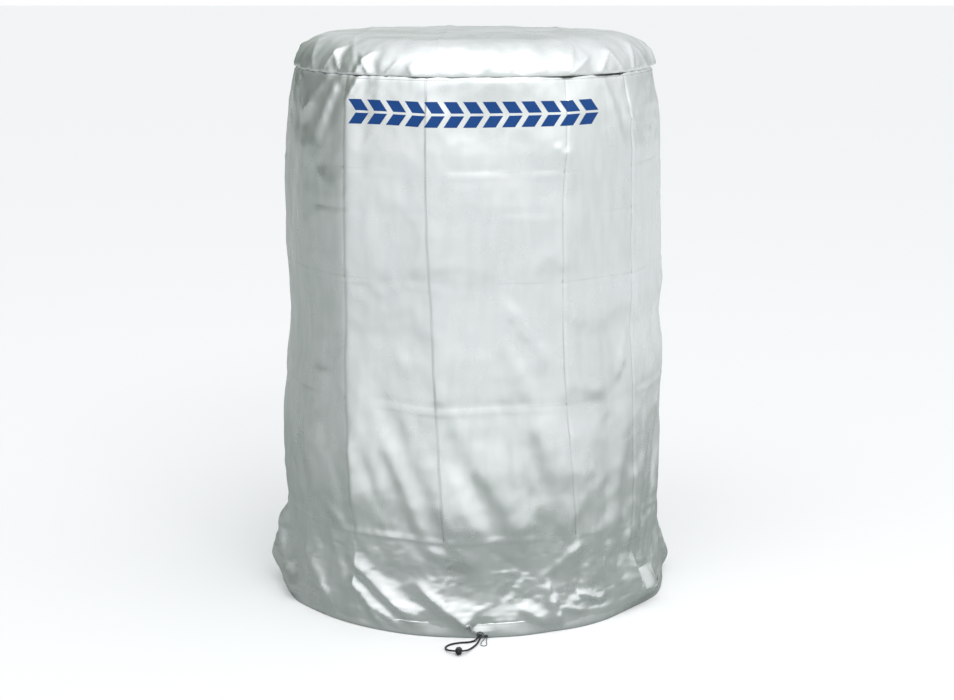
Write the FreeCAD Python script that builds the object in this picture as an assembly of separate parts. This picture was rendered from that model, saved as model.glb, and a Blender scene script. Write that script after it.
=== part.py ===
"""Cover for a stack of four tyres: a silver cloth tube with a round top, a drawcord hem and a cord lock.

Millimetres, +Z up, origin on the floor at the cover's axis. The hem's cord opening faces -Y.
Every piece is built by its own function and written to parts/NAME.step.
"""
import FreeCAD, Part
import math
import os

from FreeCAD import Vector

# --- Cloth -------------------------------------------------------------------------------------
CLOTH = 1.2                 # thickness of the coated cloth, lining and coating together
CONTACT_GAP = 0.05          # clearance between layers that lie on each other

# --- Round top ---------------------------------------------------------------------------------
TOP_HEIGHT = 980.0          # flat top above the floor
TOP_FLAT_RADIUS = 245.0     # where the flat top starts to roll over the tyre's shoulder
SHOULDER_RADIUS = 64.0      # radius of that roll
TOP_SEAM_HEIGHT = 924.0     # seam between the round top and the side

# --- Side tube: (height, inner radius) from the hem up to the bore, then from the bore to the seam
BORE_RADIUS = 325.0         # straight stretch that fits over 650 mm tyres
BORE_BOTTOM = 500.0
BORE_TOP = 790.0
SIDE_BOTTOM = (14.0, 343.8)
SKIRT_TUCK = (95.0, 340.5)
SKIRT_BULGE = (205.0, 345.5)
SKIRT_TOP = (330.0, 341.0)

# --- Hem: a folded channel that stands on the floor, with a lip sewn over the side's lower edge --
HEM_INNER_RADIUS = 342.0
HEM_OUTER_RADIUS = 349.5
HEM_CHANNEL_HEIGHT = 14.0
HEM_LIP_HEIGHT = 26.0
HEM_LIP_RADIUS = 345.0      # inner radius of the lip, the side tube's outer face

# --- Seams -------------------------------------------------------------------------------------
BINDING_WIDTH = 13.0
BINDING_THICKNESS = 1.6
BACK_TAPE_WIDTH = 14.0
BACK_TAPE_THICKNESS = 0.8
BACK_TAPE_ENDS = (27.0, 916.0)
THREAD_RADIUS = 0.3
TOP_STITCH_HEIGHT = 919.0
HEM_STITCH_HEIGHT = 22.0
BACK_STITCH_OFFSET = 5.0    # each row's distance from the back seam's centre line

# --- Printed graphic: two rows of slanted blocks, like a tyre's tread ------------------------------
PRINT_THICKNESS = 0.2
PRINT_HEIGHT = 866.0        # middle of the two rows
PRINT_COLUMNS = 13
PRINT_PITCH = 31.0
PRINT_BLOCK_WIDTH = 21.0
PRINT_BLOCK_HEIGHT = 18.0
PRINT_ROW_GAP = 4.0
PRINT_SLANT = 12.0          # sideways lean of a block over its height

# --- Cord opening in the hem ---------------------------------------------------------------------
EYELET_X = 12.0
EYELET_HEIGHT = 6.6
EYELET_BORE = 8.0
EYELET_NECK = 9.2
EYELET_FLANGE = 12.4
EYELET_WASHER = 10.6
EYELET_THICKNESS = 0.7
PATCH_WIDTH = 24.0
PATCH_THICKNESS = 0.6

# --- Drawcord ------------------------------------------------------------------------------------
CORD_DIAMETER = 3.0
CORD_RING_RADIUS = 345.0    # the cord's circle inside the hem
CORD_EXIT_SPACING = 3.3     # between the two strands in the eyelet
CORD_EXIT_BEND = 3.2
CORD_EXIT_Y = -350.3

# --- Cord lock -----------------------------------------------------------------------------------
LOCK_X = -23.0
LOCK_Y = -422.0
LOCK_Z = 6.3
LOCK_RADIUS = 6.0
LOCK_END_RADIUS = 4.2
LOCK_MOUTH = 6.0            # from the cord hole to the open end
LOCK_BACK = 8.0             # from the cord hole to the closed end
LOCK_BORE_RADIUS = 3.58
LOCK_BORE_DEPTH = 7.0
LOCK_HOLE_RADIUS = 2.1
LOCK_HOLE_FLARE = 3.3
PLUNGER_RADIUS = 3.5
PLUNGER_BACK = 3.3
PLUNGER_FRONT = 9.2
PLUNGER_DOME = 8.0          # radius of the head's dome
PLUNGER_TRAVEL = 2.4
PLUNGER_SLOT_BACK = 2.05
PLUNGER_SLOT_HEIGHT = 3.8
SPRING_RADIUS = 2.3
SPRING_WIRE = 0.35
SPRING_TURNS = 3

# --- Pull loop -----------------------------------------------------------------------------------
PULL_DIAMETER = 1.3
BARTACK_X = 21.8
BARTACK_SIZE = (6.4, 0.8, 6.0)
BARTACK_BOTTOM = 0.4

# Drawcord's free loop: out of the eyelet on the left, round through the lock, back on the right.
DRAWCORD_ROUTE = [
    (10.35, -350.3, 6.6),
    (7.0, -362.0, 2.6),
    (-6.0, -371.0, 1.7),
    (-22.0, -372.5, 1.7),
    (-36.0, -379.0, 1.7),
    (-45.0, -390.0, 1.7),
    (-45.0, -405.5, 2.2),
    (-33.0, -422.0, 6.3),
    (-13.0, -422.0, 6.3),
    (-5.0, -404.0, 2.2),
    (3.5, -386.5, 1.7),
    (10.0, -368.0, 2.1),
    (13.65, -350.3, 6.6),
]

# Pull loop: a thin bight sewn to the hem beside the eyelet.
PULL_ROUTE = [
    (20.4, -350.2, 3.4),
    (18.4, -357.2, 1.2),
    (14.9, -365.5, 0.8),
    (13.2, -374.0, 0.8),
    (13.3, -383.0, 0.8),
    (17.8, -385.7, 0.8),
    (22.3, -383.0, 0.8),
    (22.9, -374.5, 0.8),
    (22.0, -366.0, 0.8),
    (22.6, -358.0, 1.2),
    (23.2, -350.2, 3.4),
]

FULL_TURN = 360.0
AXIS_Z = Vector(0, 0, 1)
FRONT = Vector(0, -1, 0)
RUN_SHARE = 0.45            # share of the shorter run that a corner's arc takes


# --- Geometry helpers ----------------------------------------------------------------------------
def ring_section(points):
    """Closed face in the XZ plane from (radius, height) points."""
    corners = [Vector(r, 0, z) for r, z in points]
    return Part.Face(Part.makePolygon(corners + corners[:1]))


def spin(section, angle=FULL_TURN, centre_angle=0.0):
    """Revolve a section about Z. A partial turn is centred on centre_angle, measured from +X."""
    start = section.copy()
    if angle < FULL_TURN:
        start.rotate(Vector(), AXIS_Z, centre_angle - angle / 2)
    return start.revolve(Vector(), AXIS_Z, angle)


def rotate_to_x(shape, x, radius):
    """Turn a shape built at the front centre until its centre line is at this x on the hem."""
    turned = shape.copy()
    turned.rotate(Vector(), AXIS_Z, math.degrees(math.asin(x / radius)))
    return turned


def front_cylinder(radius, start, end, height):
    """Cylinder along -Y at the front centre, between two distances from the axis."""
    return Part.makeCylinder(radius, end - start, Vector(0, -start, height), FRONT)


def rounded_path(route):
    """Straight runs joined by tangent arcs, each as large as its two runs allow, and the radii."""
    points = [Vector(*p) for p in route]
    edges = []
    radii = []
    start = points[0]
    for before, corner, after in zip(points, points[1:], points[2:]):
        back = (before - corner).normalize()
        ahead = (after - corner).normalize()
        turn = math.pi - back.getAngle(ahead)
        setback = RUN_SHARE * min((corner - before).Length, (after - corner).Length)
        radii.append(setback / math.tan(turn / 2))
        arc_start = corner + back * setback
        arc_end = corner + ahead * setback
        to_centre = (back + ahead).normalize()
        middle_distance = radii[-1] / math.cos(turn / 2) - radii[-1]
        arc_middle = corner + to_centre * middle_distance
        edges.append(Part.LineSegment(start, arc_start).toShape())
        edges.append(Part.Arc(arc_start, arc_middle, arc_end).toShape())
        start = arc_end
    edges.append(Part.LineSegment(start, points[-1]).toShape())
    return Part.Wire(edges), radii


def tube_along(wire, start, direction, radius):
    """Solid round tube along a path that starts at this point in this direction."""
    profile = Part.Wire(Part.Circle(start, direction, radius).toShape())
    return wire.makePipeShell([profile], True, False)


def report_cord(name, tube, wire, radii, diameter):
    """Print a cord's length, its tightest bend, and its volume against section times length."""
    expected = math.pi * diameter ** 2 / 4 * wire.Length
    print(f"{name}: length {wire.Length:.1f} mm, volume ratio {tube.Volume / expected:.4f}")
    print(f"{name}: radii {[round(r, 1) for r in radii]}, tightest {min(radii) / diameter:.2f} diameters")


# --- Cloth wall profile --------------------------------------------------------------------------
def seam_radius(offset=0.0):
    """Radius of the cloth's outer face, plus an offset, at the top seam."""
    drop = TOP_SEAM_HEIGHT - (TOP_HEIGHT - SHOULDER_RADIUS)
    return TOP_FLAT_RADIUS + math.sqrt((SHOULDER_RADIUS + offset) ** 2 - drop ** 2)


def side_stations():
    """(height, inner radius) of the side tube from bottom to top."""
    return [
        SIDE_BOTTOM,
        SKIRT_TUCK,
        SKIRT_BULGE,
        SKIRT_TOP,
        (BORE_BOTTOM, BORE_RADIUS),
        (BORE_TOP, BORE_RADIUS),
        (TOP_SEAM_HEIGHT, seam_radius(-CLOTH)),
    ]


def side_radius(height):
    """Inner radius of the side tube at a height, between its stations."""
    stations = side_stations()
    for (low, low_radius), (high, high_radius) in zip(stations, stations[1:]):
        if low <= height <= high:
            return low_radius + (high_radius - low_radius) * (height - low) / (high - low)
    raise ValueError("height outside the side tube")


def wall_strip(bottom, top, inner_offset, outer_offset):
    """Section that follows the side wall between two heights and two offsets from its inner face."""
    heights = [bottom] + [z for z, _ in side_stations() if bottom < z < top] + [top]
    inner = [(side_radius(z) + inner_offset, z) for z in heights]
    outer = [(side_radius(z) + outer_offset, z) for z in reversed(heights)]
    return ring_section(inner + outer)


# --- Cloth pieces --------------------------------------------------------------------------------
def top_panel():
    """Round top, rolled over the shoulder down to the seam."""
    centre_height = TOP_HEIGHT - SHOULDER_RADIUS
    inner_radius = SHOULDER_RADIUS - CLOTH
    edges = []
    outer_seam = Vector(seam_radius(), 0, TOP_SEAM_HEIGHT)
    inner_seam = Vector(seam_radius(-CLOTH), 0, TOP_SEAM_HEIGHT)
    halfway = math.radians(45)
    outer_middle = Vector(
        TOP_FLAT_RADIUS + SHOULDER_RADIUS * math.sin(halfway), 0,
        centre_height + SHOULDER_RADIUS * math.cos(halfway))
    inner_middle = Vector(
        TOP_FLAT_RADIUS + inner_radius * math.sin(halfway), 0,
        centre_height + inner_radius * math.cos(halfway))
    outer_edge = Vector(TOP_FLAT_RADIUS, 0, TOP_HEIGHT)
    inner_edge = Vector(TOP_FLAT_RADIUS, 0, TOP_HEIGHT - CLOTH)
    outer_axis = Vector(0, 0, TOP_HEIGHT)
    inner_axis = Vector(0, 0, TOP_HEIGHT - CLOTH)
    edges.append(Part.LineSegment(inner_axis, outer_axis).toShape())
    edges.append(Part.LineSegment(outer_axis, outer_edge).toShape())
    edges.append(Part.Arc(outer_edge, outer_middle, outer_seam).toShape())
    edges.append(Part.LineSegment(outer_seam, inner_seam).toShape())
    edges.append(Part.Arc(inner_seam, inner_middle, inner_edge).toShape())
    edges.append(Part.LineSegment(inner_edge, inner_axis).toShape())
    return spin(Part.Face(Part.Wire(edges)))


def side_panel():
    """Side tube, closed at the back, from the hem to the top seam."""
    return spin(wall_strip(SIDE_BOTTOM[0], TOP_SEAM_HEIGHT, 0.0, CLOTH))


def top_seam_binding():
    """Tape folded over the seam allowance inside the cover."""
    bottom = TOP_SEAM_HEIGHT - BINDING_WIDTH
    outer = -CONTACT_GAP
    return spin(wall_strip(bottom, TOP_SEAM_HEIGHT, outer - BINDING_THICKNESS, outer))


def top_seam_stitching():
    """Ring of thread just under the top seam."""
    radius = side_radius(TOP_STITCH_HEIGHT) + CLOTH + THREAD_RADIUS + CONTACT_GAP
    return Part.makeTorus(radius, THREAD_RADIUS, Vector(0, 0, TOP_STITCH_HEIGHT))


def back_seam_tape():
    """Flat tape over the side panel's closing seam, outside at the back."""
    bottom, top = BACK_TAPE_ENDS
    inner = CLOTH + CONTACT_GAP
    section = wall_strip(bottom, top, inner, inner + BACK_TAPE_THICKNESS)
    return spin(section, math.degrees(BACK_TAPE_WIDTH / BORE_RADIUS), 90.0)


def back_seam_stitching():
    """Two rows of thread along the back tape."""
    bottom, top = BACK_TAPE_ENDS
    inner = CLOTH + BACK_TAPE_THICKNESS + 2 * CONTACT_GAP
    section = wall_strip(bottom, top, inner, inner + 2 * THREAD_RADIUS)
    width = math.degrees(2 * THREAD_RADIUS / BORE_RADIUS)
    offset = math.degrees(BACK_STITCH_OFFSET / BORE_RADIUS)
    rows = [spin(section, width, 90.0 + side * offset) for side in (-1, 1)]
    return Part.makeCompound(rows)


def hem_casing():
    """Folded hem with the drawcord's channel inside and the hole for the eyelet in front."""
    body = spin(ring_section([
        (HEM_INNER_RADIUS, 0),
        (HEM_OUTER_RADIUS, 0),
        (HEM_OUTER_RADIUS, HEM_CHANNEL_HEIGHT),
        (HEM_LIP_RADIUS + CLOTH, HEM_CHANNEL_HEIGHT + CLOTH),
        (HEM_LIP_RADIUS + CLOTH, HEM_LIP_HEIGHT),
        (HEM_LIP_RADIUS, HEM_LIP_HEIGHT),
        (HEM_LIP_RADIUS, HEM_CHANNEL_HEIGHT),
        (HEM_INNER_RADIUS, HEM_CHANNEL_HEIGHT),
    ]))
    channel = spin(ring_section([
        (HEM_INNER_RADIUS + CLOTH, CLOTH),
        (HEM_OUTER_RADIUS - CLOTH, CLOTH),
        (HEM_OUTER_RADIUS - CLOTH, HEM_CHANNEL_HEIGHT - CLOTH),
        (HEM_INNER_RADIUS + CLOTH, HEM_CHANNEL_HEIGHT - CLOTH),
    ]))
    return body.cut(channel).cut(eyelet_hole())


def hem_stitching():
    """Ring of thread that closes the hem's lip."""
    radius = HEM_LIP_RADIUS + CLOTH + THREAD_RADIUS + CONTACT_GAP
    return Part.makeTorus(radius, THREAD_RADIUS, Vector(0, 0, HEM_STITCH_HEIGHT))


def print_block(left, bottom, slant):
    """Prism along Y with a leaning block as its outline."""
    top = bottom + PRINT_BLOCK_HEIGHT
    corners = [
        Vector(left, -2 * BORE_RADIUS, bottom),
        Vector(left + PRINT_BLOCK_WIDTH, -2 * BORE_RADIUS, bottom),
        Vector(left + PRINT_BLOCK_WIDTH + slant, -2 * BORE_RADIUS, top),
        Vector(left + slant, -2 * BORE_RADIUS, top),
    ]
    outline = Part.Face(Part.makePolygon(corners + corners[:1]))
    return outline.extrude(Vector(0, 2 * BORE_RADIUS, 0))


def front_print():
    """Printed graphic: two rows of blocks that lean opposite ways, on the side panel's front."""
    reach = PRINT_BLOCK_HEIGHT + PRINT_ROW_GAP
    inner = CLOTH + CONTACT_GAP
    band = spin(wall_strip(
        PRINT_HEIGHT - reach, PRINT_HEIGHT + reach, inner, inner + PRINT_THICKNESS))
    first = -(PRINT_COLUMNS * PRINT_PITCH) / 2
    blocks = []
    for column in range(PRINT_COLUMNS):
        left = first + column * PRINT_PITCH
        upper = print_block(left + PRINT_SLANT, PRINT_HEIGHT + PRINT_ROW_GAP / 2, -PRINT_SLANT)
        lower = print_block(left, PRINT_HEIGHT - PRINT_ROW_GAP / 2 - PRINT_BLOCK_HEIGHT, PRINT_SLANT)
        blocks += band.common(upper).Solids + band.common(lower).Solids
    return Part.makeCompound(blocks)


# --- Eyelet --------------------------------------------------------------------------------------
def eyelet_hole():
    """Hole through the hem's outer wall and the patch behind it."""
    hole = front_cylinder(
        EYELET_NECK / 2 + CONTACT_GAP, CORD_RING_RADIUS, HEM_OUTER_RADIUS + CLOTH, EYELET_HEIGHT)
    return rotate_to_x(hole, EYELET_X, HEM_OUTER_RADIUS)


def patch_face_radius():
    """Distance from the axis to the patch's inner face."""
    return HEM_OUTER_RADIUS - CLOTH - CONTACT_GAP - PATCH_THICKNESS


def eyelet_patch():
    """Cloth patch inside the hem's outer wall that stops the eyelet tearing out."""
    inner = patch_face_radius()
    patch = spin(ring_section([
        (inner, CLOTH + CONTACT_GAP),
        (inner + PATCH_THICKNESS, CLOTH + CONTACT_GAP),
        (inner + PATCH_THICKNESS, HEM_CHANNEL_HEIGHT - CLOTH - CONTACT_GAP),
        (inner, HEM_CHANNEL_HEIGHT - CLOTH - CONTACT_GAP),
    ]), math.degrees(PATCH_WIDTH / HEM_OUTER_RADIUS), -90.0)
    return rotate_to_x(patch, EYELET_X, HEM_OUTER_RADIUS).cut(eyelet_hole())


def eyelet():
    """Outer half of the eyelet: a flange on the hem and a neck through it."""
    washer_face = patch_face_radius() - 2 * CONTACT_GAP - EYELET_THICKNESS
    flange = front_cylinder(
        EYELET_FLANGE / 2, HEM_OUTER_RADIUS, HEM_OUTER_RADIUS + EYELET_THICKNESS, EYELET_HEIGHT)
    neck = front_cylinder(EYELET_NECK / 2, washer_face, HEM_OUTER_RADIUS, EYELET_HEIGHT)
    bore = front_cylinder(
        EYELET_BORE / 2, washer_face, HEM_OUTER_RADIUS + EYELET_THICKNESS, EYELET_HEIGHT)
    return rotate_to_x(flange.fuse(neck).cut(bore).removeSplitter(), EYELET_X, HEM_OUTER_RADIUS)


def eyelet_washer():
    """Inner half of the eyelet, pressed over the neck inside the hem."""
    outer_face = patch_face_radius() - 2 * CONTACT_GAP
    disc = front_cylinder(
        EYELET_WASHER / 2, outer_face - EYELET_THICKNESS, outer_face, EYELET_HEIGHT)
    bore = front_cylinder(
        EYELET_NECK / 2 + CONTACT_GAP, outer_face - EYELET_THICKNESS, outer_face, EYELET_HEIGHT)
    return rotate_to_x(disc.cut(bore), EYELET_X, HEM_OUTER_RADIUS)


# --- Cords ---------------------------------------------------------------------------------------
def hem_drawcord():
    """Drawcord inside the hem: round the back, with both ends turned out through the eyelet."""
    height = EYELET_HEIGHT
    bend = CORD_EXIT_BEND
    edges = []
    ring_ends = []
    for side in (-1, 1):
        exit_x = EYELET_X + side * CORD_EXIT_SPACING / 2
        ring_x = exit_x + side * bend
        ring_y = -math.sqrt(CORD_RING_RADIUS ** 2 - ring_x ** 2)
        straight_start = Vector(exit_x, ring_y - bend, height)
        ring_end = Vector(ring_x, ring_y, height)
        diagonal = bend * (1 - math.sqrt(0.5))
        middle = Vector(exit_x + side * diagonal, ring_y - diagonal, height)
        exit_point = Vector(exit_x, CORD_EXIT_Y, height)
        ring_ends.append(ring_end)
        pieces = [
            Part.LineSegment(exit_point, straight_start).toShape(),
            Part.Arc(straight_start, middle, ring_end).toShape(),
        ]
        edges.append(pieces)
    back = Vector(0, CORD_RING_RADIUS, height)
    left_half = Part.Arc(ring_ends[0], Vector(-CORD_RING_RADIUS, 0, height), back).toShape()
    right_half = Part.Arc(back, Vector(CORD_RING_RADIUS, 0, height), ring_ends[1]).toShape()
    wire = Part.Wire(edges[0] + [left_half, right_half] + edges[1][::-1])
    start = Vector(EYELET_X - CORD_EXIT_SPACING / 2, CORD_EXIT_Y, height)
    tube = tube_along(wire, start, FRONT, CORD_DIAMETER / 2)
    report_cord("hem_drawcord", tube, wire, [bend, CORD_RING_RADIUS], CORD_DIAMETER)
    return tube


def free_cord(name, route, diameter):
    """Tube along a free cord's route."""
    wire, radii = rounded_path(route)
    start = Vector(*route[0])
    direction = Vector(*route[1]) - start
    tube = tube_along(wire, start, direction, diameter / 2)
    report_cord(name, tube, wire, radii, diameter)
    return tube


def drawcord_loop():
    """Free loop of the drawcord in front of the hem."""
    return free_cord("drawcord_loop", DRAWCORD_ROUTE, CORD_DIAMETER)


def pull_loop():
    """Thin loop beside the eyelet."""
    return free_cord("pull_loop", PULL_ROUTE, PULL_DIAMETER)


def pull_loop_bartack():
    """Block of dense stitches that holds the pull loop's ends on the hem."""
    width, depth, height = BARTACK_SIZE
    corner = Vector(-width / 2, -HEM_OUTER_RADIUS - depth, BARTACK_BOTTOM)
    return rotate_to_x(Part.makeBox(width, depth, height, corner), BARTACK_X, HEM_OUTER_RADIUS)


# --- Cord lock -----------------------------------------------------------------------------------
def lock_turned(edges):
    """Turn a closed outline in the lock's section plane about the lock's axis."""
    face = Part.Face(Part.Wire(edges))
    return face.revolve(Vector(LOCK_X, LOCK_Y, LOCK_Z), FRONT, FULL_TURN)


def lock_point(ahead, radius):
    """Point in the lock's section plane: ahead of the cord hole, and this far above the lock's axis."""
    return Vector(LOCK_X, LOCK_Y - ahead, LOCK_Z + radius)


def cord_lock_barrel():
    """Barrel-shaped lock body with the plunger's bore and the cord's flared cross hole."""
    middle = (LOCK_MOUTH - LOCK_BACK) / 2
    mouth_axis = lock_point(LOCK_MOUTH, 0)
    mouth_rim = lock_point(LOCK_MOUTH, LOCK_END_RADIUS)
    back_rim = lock_point(-LOCK_BACK, LOCK_END_RADIUS)
    back_axis = lock_point(-LOCK_BACK, 0)
    body = lock_turned([
        Part.LineSegment(mouth_axis, mouth_rim).toShape(),
        Part.Arc(mouth_rim, lock_point(middle, LOCK_RADIUS), back_rim).toShape(),
        Part.LineSegment(back_rim, back_axis).toShape(),
        Part.LineSegment(back_axis, mouth_axis).toShape(),
    ])
    bore = Part.makeCylinder(
        LOCK_BORE_RADIUS, LOCK_BORE_DEPTH + LOCK_MOUTH, lock_point(-LOCK_BORE_DEPTH, 0), FRONT)
    centre = Vector(LOCK_X, LOCK_Y, LOCK_Z)
    hole_length = 2 * LOCK_RADIUS
    hole = Part.makeCylinder(
        LOCK_HOLE_RADIUS, hole_length, centre - Vector(LOCK_RADIUS, 0, 0), Vector(1, 0, 0))
    flares = [
        Part.makeCone(LOCK_HOLE_RADIUS, LOCK_HOLE_FLARE, LOCK_RADIUS / 2,
                      centre + Vector(side * LOCK_RADIUS / 2, 0, 0), Vector(side, 0, 0))
        for side in (-1, 1)
    ]
    return body.cut(bore).cut(hole).cut(flares[0]).cut(flares[1])


def cord_lock_plunger():
    """Plunger with a domed head and the slot that grips or frees the cord."""
    length = PLUNGER_BACK + PLUNGER_FRONT
    stem = Part.makeCylinder(PLUNGER_RADIUS, length, lock_point(-PLUNGER_BACK, 0), FRONT)
    dome = Part.makeSphere(PLUNGER_DOME, lock_point(PLUNGER_FRONT - PLUNGER_DOME, 0))
    slot_front = LOCK_HOLE_RADIUS + PLUNGER_TRAVEL
    slot = Part.makeBox(
        2 * LOCK_RADIUS, slot_front + PLUNGER_SLOT_BACK, PLUNGER_SLOT_HEIGHT,
        Vector(LOCK_X - LOCK_RADIUS, LOCK_Y - slot_front, LOCK_Z - PLUNGER_SLOT_HEIGHT / 2))
    return stem.common(dome).cut(slot)


def cord_lock_spring():
    """Coil spring between the barrel's closed end and the plunger."""
    room = LOCK_BORE_DEPTH - PLUNGER_BACK - 2 * SPRING_WIRE
    pitch = room / SPRING_TURNS
    helix = Part.makeHelix(pitch, room, SPRING_RADIUS)
    profile = Part.Wire(Part.Circle(Vector(SPRING_RADIUS, 0, 0), Vector(0, 1, 0), SPRING_WIRE / 2).toShape())
    spring = Part.Wire(helix.Edges).makePipeShell([profile], True, True)
    spring.rotate(Vector(), Vector(1, 0, 0), 90)
    spring.translate(lock_point(SPRING_WIRE - LOCK_BORE_DEPTH, 0))
    return spring


PIECES = {
    "top_panel": top_panel,
    "side_panel": side_panel,
    "top_seam_binding": top_seam_binding,
    "top_seam_stitching": top_seam_stitching,
    "back_seam_tape": back_seam_tape,
    "back_seam_stitching": back_seam_stitching,
    "front_print": front_print,
    "hem_casing": hem_casing,
    "hem_stitching": hem_stitching,
    "eyelet_patch": eyelet_patch,
    "eyelet": eyelet,
    "eyelet_washer": eyelet_washer,
    "hem_drawcord": hem_drawcord,
    "drawcord_loop": drawcord_loop,
    "cord_lock_barrel": cord_lock_barrel,
    "cord_lock_plunger": cord_lock_plunger,
    "cord_lock_spring": cord_lock_spring,
    "pull_loop": pull_loop,
    "pull_loop_bartack": pull_loop_bartack,
}


def main():
    os.makedirs("parts", exist_ok=True)
    for name, build in PIECES.items():
        shape = build()
        if not shape.isValid():
            print(f"{name} is not valid")
        shape.exportStep(f"parts/{name}.step")
        box = shape.BoundBox
        print(f"{name}: {len(shape.Solids)} solids, {shape.Volume:.1f} mm3, "
              f"x {box.XMin:.1f}..{box.XMax:.1f} y {box.YMin:.1f}..{box.YMax:.1f} "
              f"z {box.ZMin:.1f}..{box.ZMax:.1f}")


main()
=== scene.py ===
import math

import bpy
import numpy as np
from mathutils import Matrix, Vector, noise


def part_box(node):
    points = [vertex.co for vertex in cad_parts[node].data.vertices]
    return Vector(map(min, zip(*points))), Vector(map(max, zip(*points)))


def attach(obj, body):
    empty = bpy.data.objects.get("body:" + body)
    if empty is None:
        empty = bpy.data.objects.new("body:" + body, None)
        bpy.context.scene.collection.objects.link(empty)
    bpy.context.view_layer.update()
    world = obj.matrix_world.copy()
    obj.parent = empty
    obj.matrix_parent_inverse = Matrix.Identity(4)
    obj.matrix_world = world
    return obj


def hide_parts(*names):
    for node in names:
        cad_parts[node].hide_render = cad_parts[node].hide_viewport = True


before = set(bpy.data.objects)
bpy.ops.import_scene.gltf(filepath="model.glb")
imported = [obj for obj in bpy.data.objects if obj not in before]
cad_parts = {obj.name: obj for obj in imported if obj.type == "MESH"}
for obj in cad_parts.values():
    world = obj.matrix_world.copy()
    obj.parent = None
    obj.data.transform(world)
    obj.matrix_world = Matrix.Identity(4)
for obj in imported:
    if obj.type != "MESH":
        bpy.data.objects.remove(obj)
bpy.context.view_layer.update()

# Everything is in metres and in the CAD frame: +Z up, the front of the cover faces -Y.
# Angles on the cover are in degrees from the front, positive towards +X.

# --- Sizes read from the frame -------------------------------------------------------------------
TOP_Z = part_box("top_panel")[1].z
SEAM_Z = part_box("top_panel")[0].z
SEAM_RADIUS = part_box("top_panel")[1].x
HEM_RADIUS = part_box("hem_casing")[1].x
SIDE_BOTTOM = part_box("side_panel")[0].z
PRINT_LOW, PRINT_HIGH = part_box("front_print")

MM = 0.001
WALL_RADIUS = 0.335            # mean radius, used to turn angles into lengths along the cloth
METRES_PER_DEGREE = math.radians(WALL_RADIUS)

# --- Shape of the wall that the tyres and the slack give it: radius in mm at each height in mm -----
WALL_HEIGHTS = (0, 26, 70, 110, 165, 220, 300, 400, 450, 500, 560, 620, 720, 800, 870, 924)
WALL_LEFT = (350, 349, 344, 334, 333, 336, 338, 331, 325, 322, 324, 327, 328, 324, 317, 308)
WALL_RIGHT = (346, 346, 338, 328, 330, 330, 331, 335, 334, 328, 333, 330, 326, 325, 318, 308)
WALL_FRONT = (346, 345, 343, 344, 351, 350, 343, 335, 331, 327, 326, 328, 327, 324, 317, 308)
WALL_BACK = (346, 345, 343, 343, 350, 349, 343, 334, 329, 326, 327, 328, 326, 324, 317, 308)

# --- Packing creases down the side ---------------------------------------------------------------
# Angle at four heights, how flat the panel to its right is, depth of the crease (mm) and how far the
# cloth leans into it from the left and from the right (mm).
CREASE_HEIGHTS = (0.15, 0.45, 0.72, 0.924)
UPRIGHT_CREASES = (
    ((-171, -172, -171, -170), 0.5, 1.6, 30, 4),
    ((-146, -147, -145, -146), 0.6, 2.4, 26, 5),
    ((-117, -118, -119, -118), 0.5, 2.0, 5, 28),
    ((-89, -87, -88, -90), 0.6, 2.4, 30, 5),
    ((-57, -56, -60, -63), 0.7, 1.2, 8, 12),
    ((-34.5, -40.0, -39.7, -40.7), 0.9, 2.2, 10, 3),
    ((-7.5, -11.0, -13.3, -13.9), 0.6, 3.4, 34, 3),
    ((30.2, 26.9, 26.4, 29.0), 0.8, 3.0, 22, 4),
    ((41.0, 42.0, 43.0, 43.5), 0.8, 1.0, 14, 14),
    ((55.3, 53.3, 54.2, 53.7), 0.8, 3.0, 20, 3),
    ((79, 81, 80, 81), 0.6, 2.0, 24, 6),
    ((107, 106, 108, 107), 0.5, 2.2, 5, 26),
    ((134, 133, 132, 134), 0.6, 2.6, 30, 4),
    ((159, 161, 160, 159), 0.5, 1.8, 6, 22),
)
CREASE_COLUMN_GAP = 0.8        # degrees to the next column on each side of a crease

# --- Packing creases round the side: height, and how far the band above it puffs out (mm) ----------
LEVEL_CREASES = ((0.165, 2.4), (0.385, 1.8), (0.588, 1.0), (0.698, 0.8), (0.768, 1.4))

RANDOM = np.random.default_rng(41)
RANDOM_TUCKS = RANDOM.random((36, 5))        # tucks of the skirt at the flanks and the back
RANDOM_TOP_FOLDS = RANDOM.random((30, 4))    # small shoulder folds at the flanks and the back


# --- Small maths ---------------------------------------------------------------------------------
def smooth(low, high, x):
    """0 below low, 1 above high, and a smooth step between."""
    t = np.clip((x - low) / (high - low), 0.0, 1.0)
    return t * t * (3.0 - 2.0 * t)


def around(angle):
    """Angle in degrees brought into -180 to 180."""
    return (angle + 180.0) % 360.0 - 180.0


def ridged(points, size, seed):
    """Noise with narrow crests for each point, 0 to 1. size is the spacing of the crests."""
    broad = 1.1 - np.hypot(billow(points, size, seed), 0.06) * 1.8
    narrow = 1.1 - np.hypot(billow(points, size * 0.45, seed + 0.5), 0.12) * 1.8
    return 0.72 * np.clip(broad, 0.0, 1.0) + 0.28 * np.clip(narrow, 0.0, 1.0)


def billow(points, size, seed):
    """Smooth noise for each point, about -1 to 1. size is the spacing of the swells."""
    shift = Vector((seed * 2.93, seed * 8.11, seed * 4.37))
    return np.array([
        noise.noise(Vector(p) / size + shift) for p in points.reshape(-1, 3)
    ]).reshape(points.shape[:-1])


def on_cylinder(angle, radius, height):
    """Points at an angle from the front, a radius and a height."""
    a = np.radians(angle)
    return np.stack([radius * np.sin(a), -radius * np.cos(a), height + 0.0 * a], axis=-1)


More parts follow.
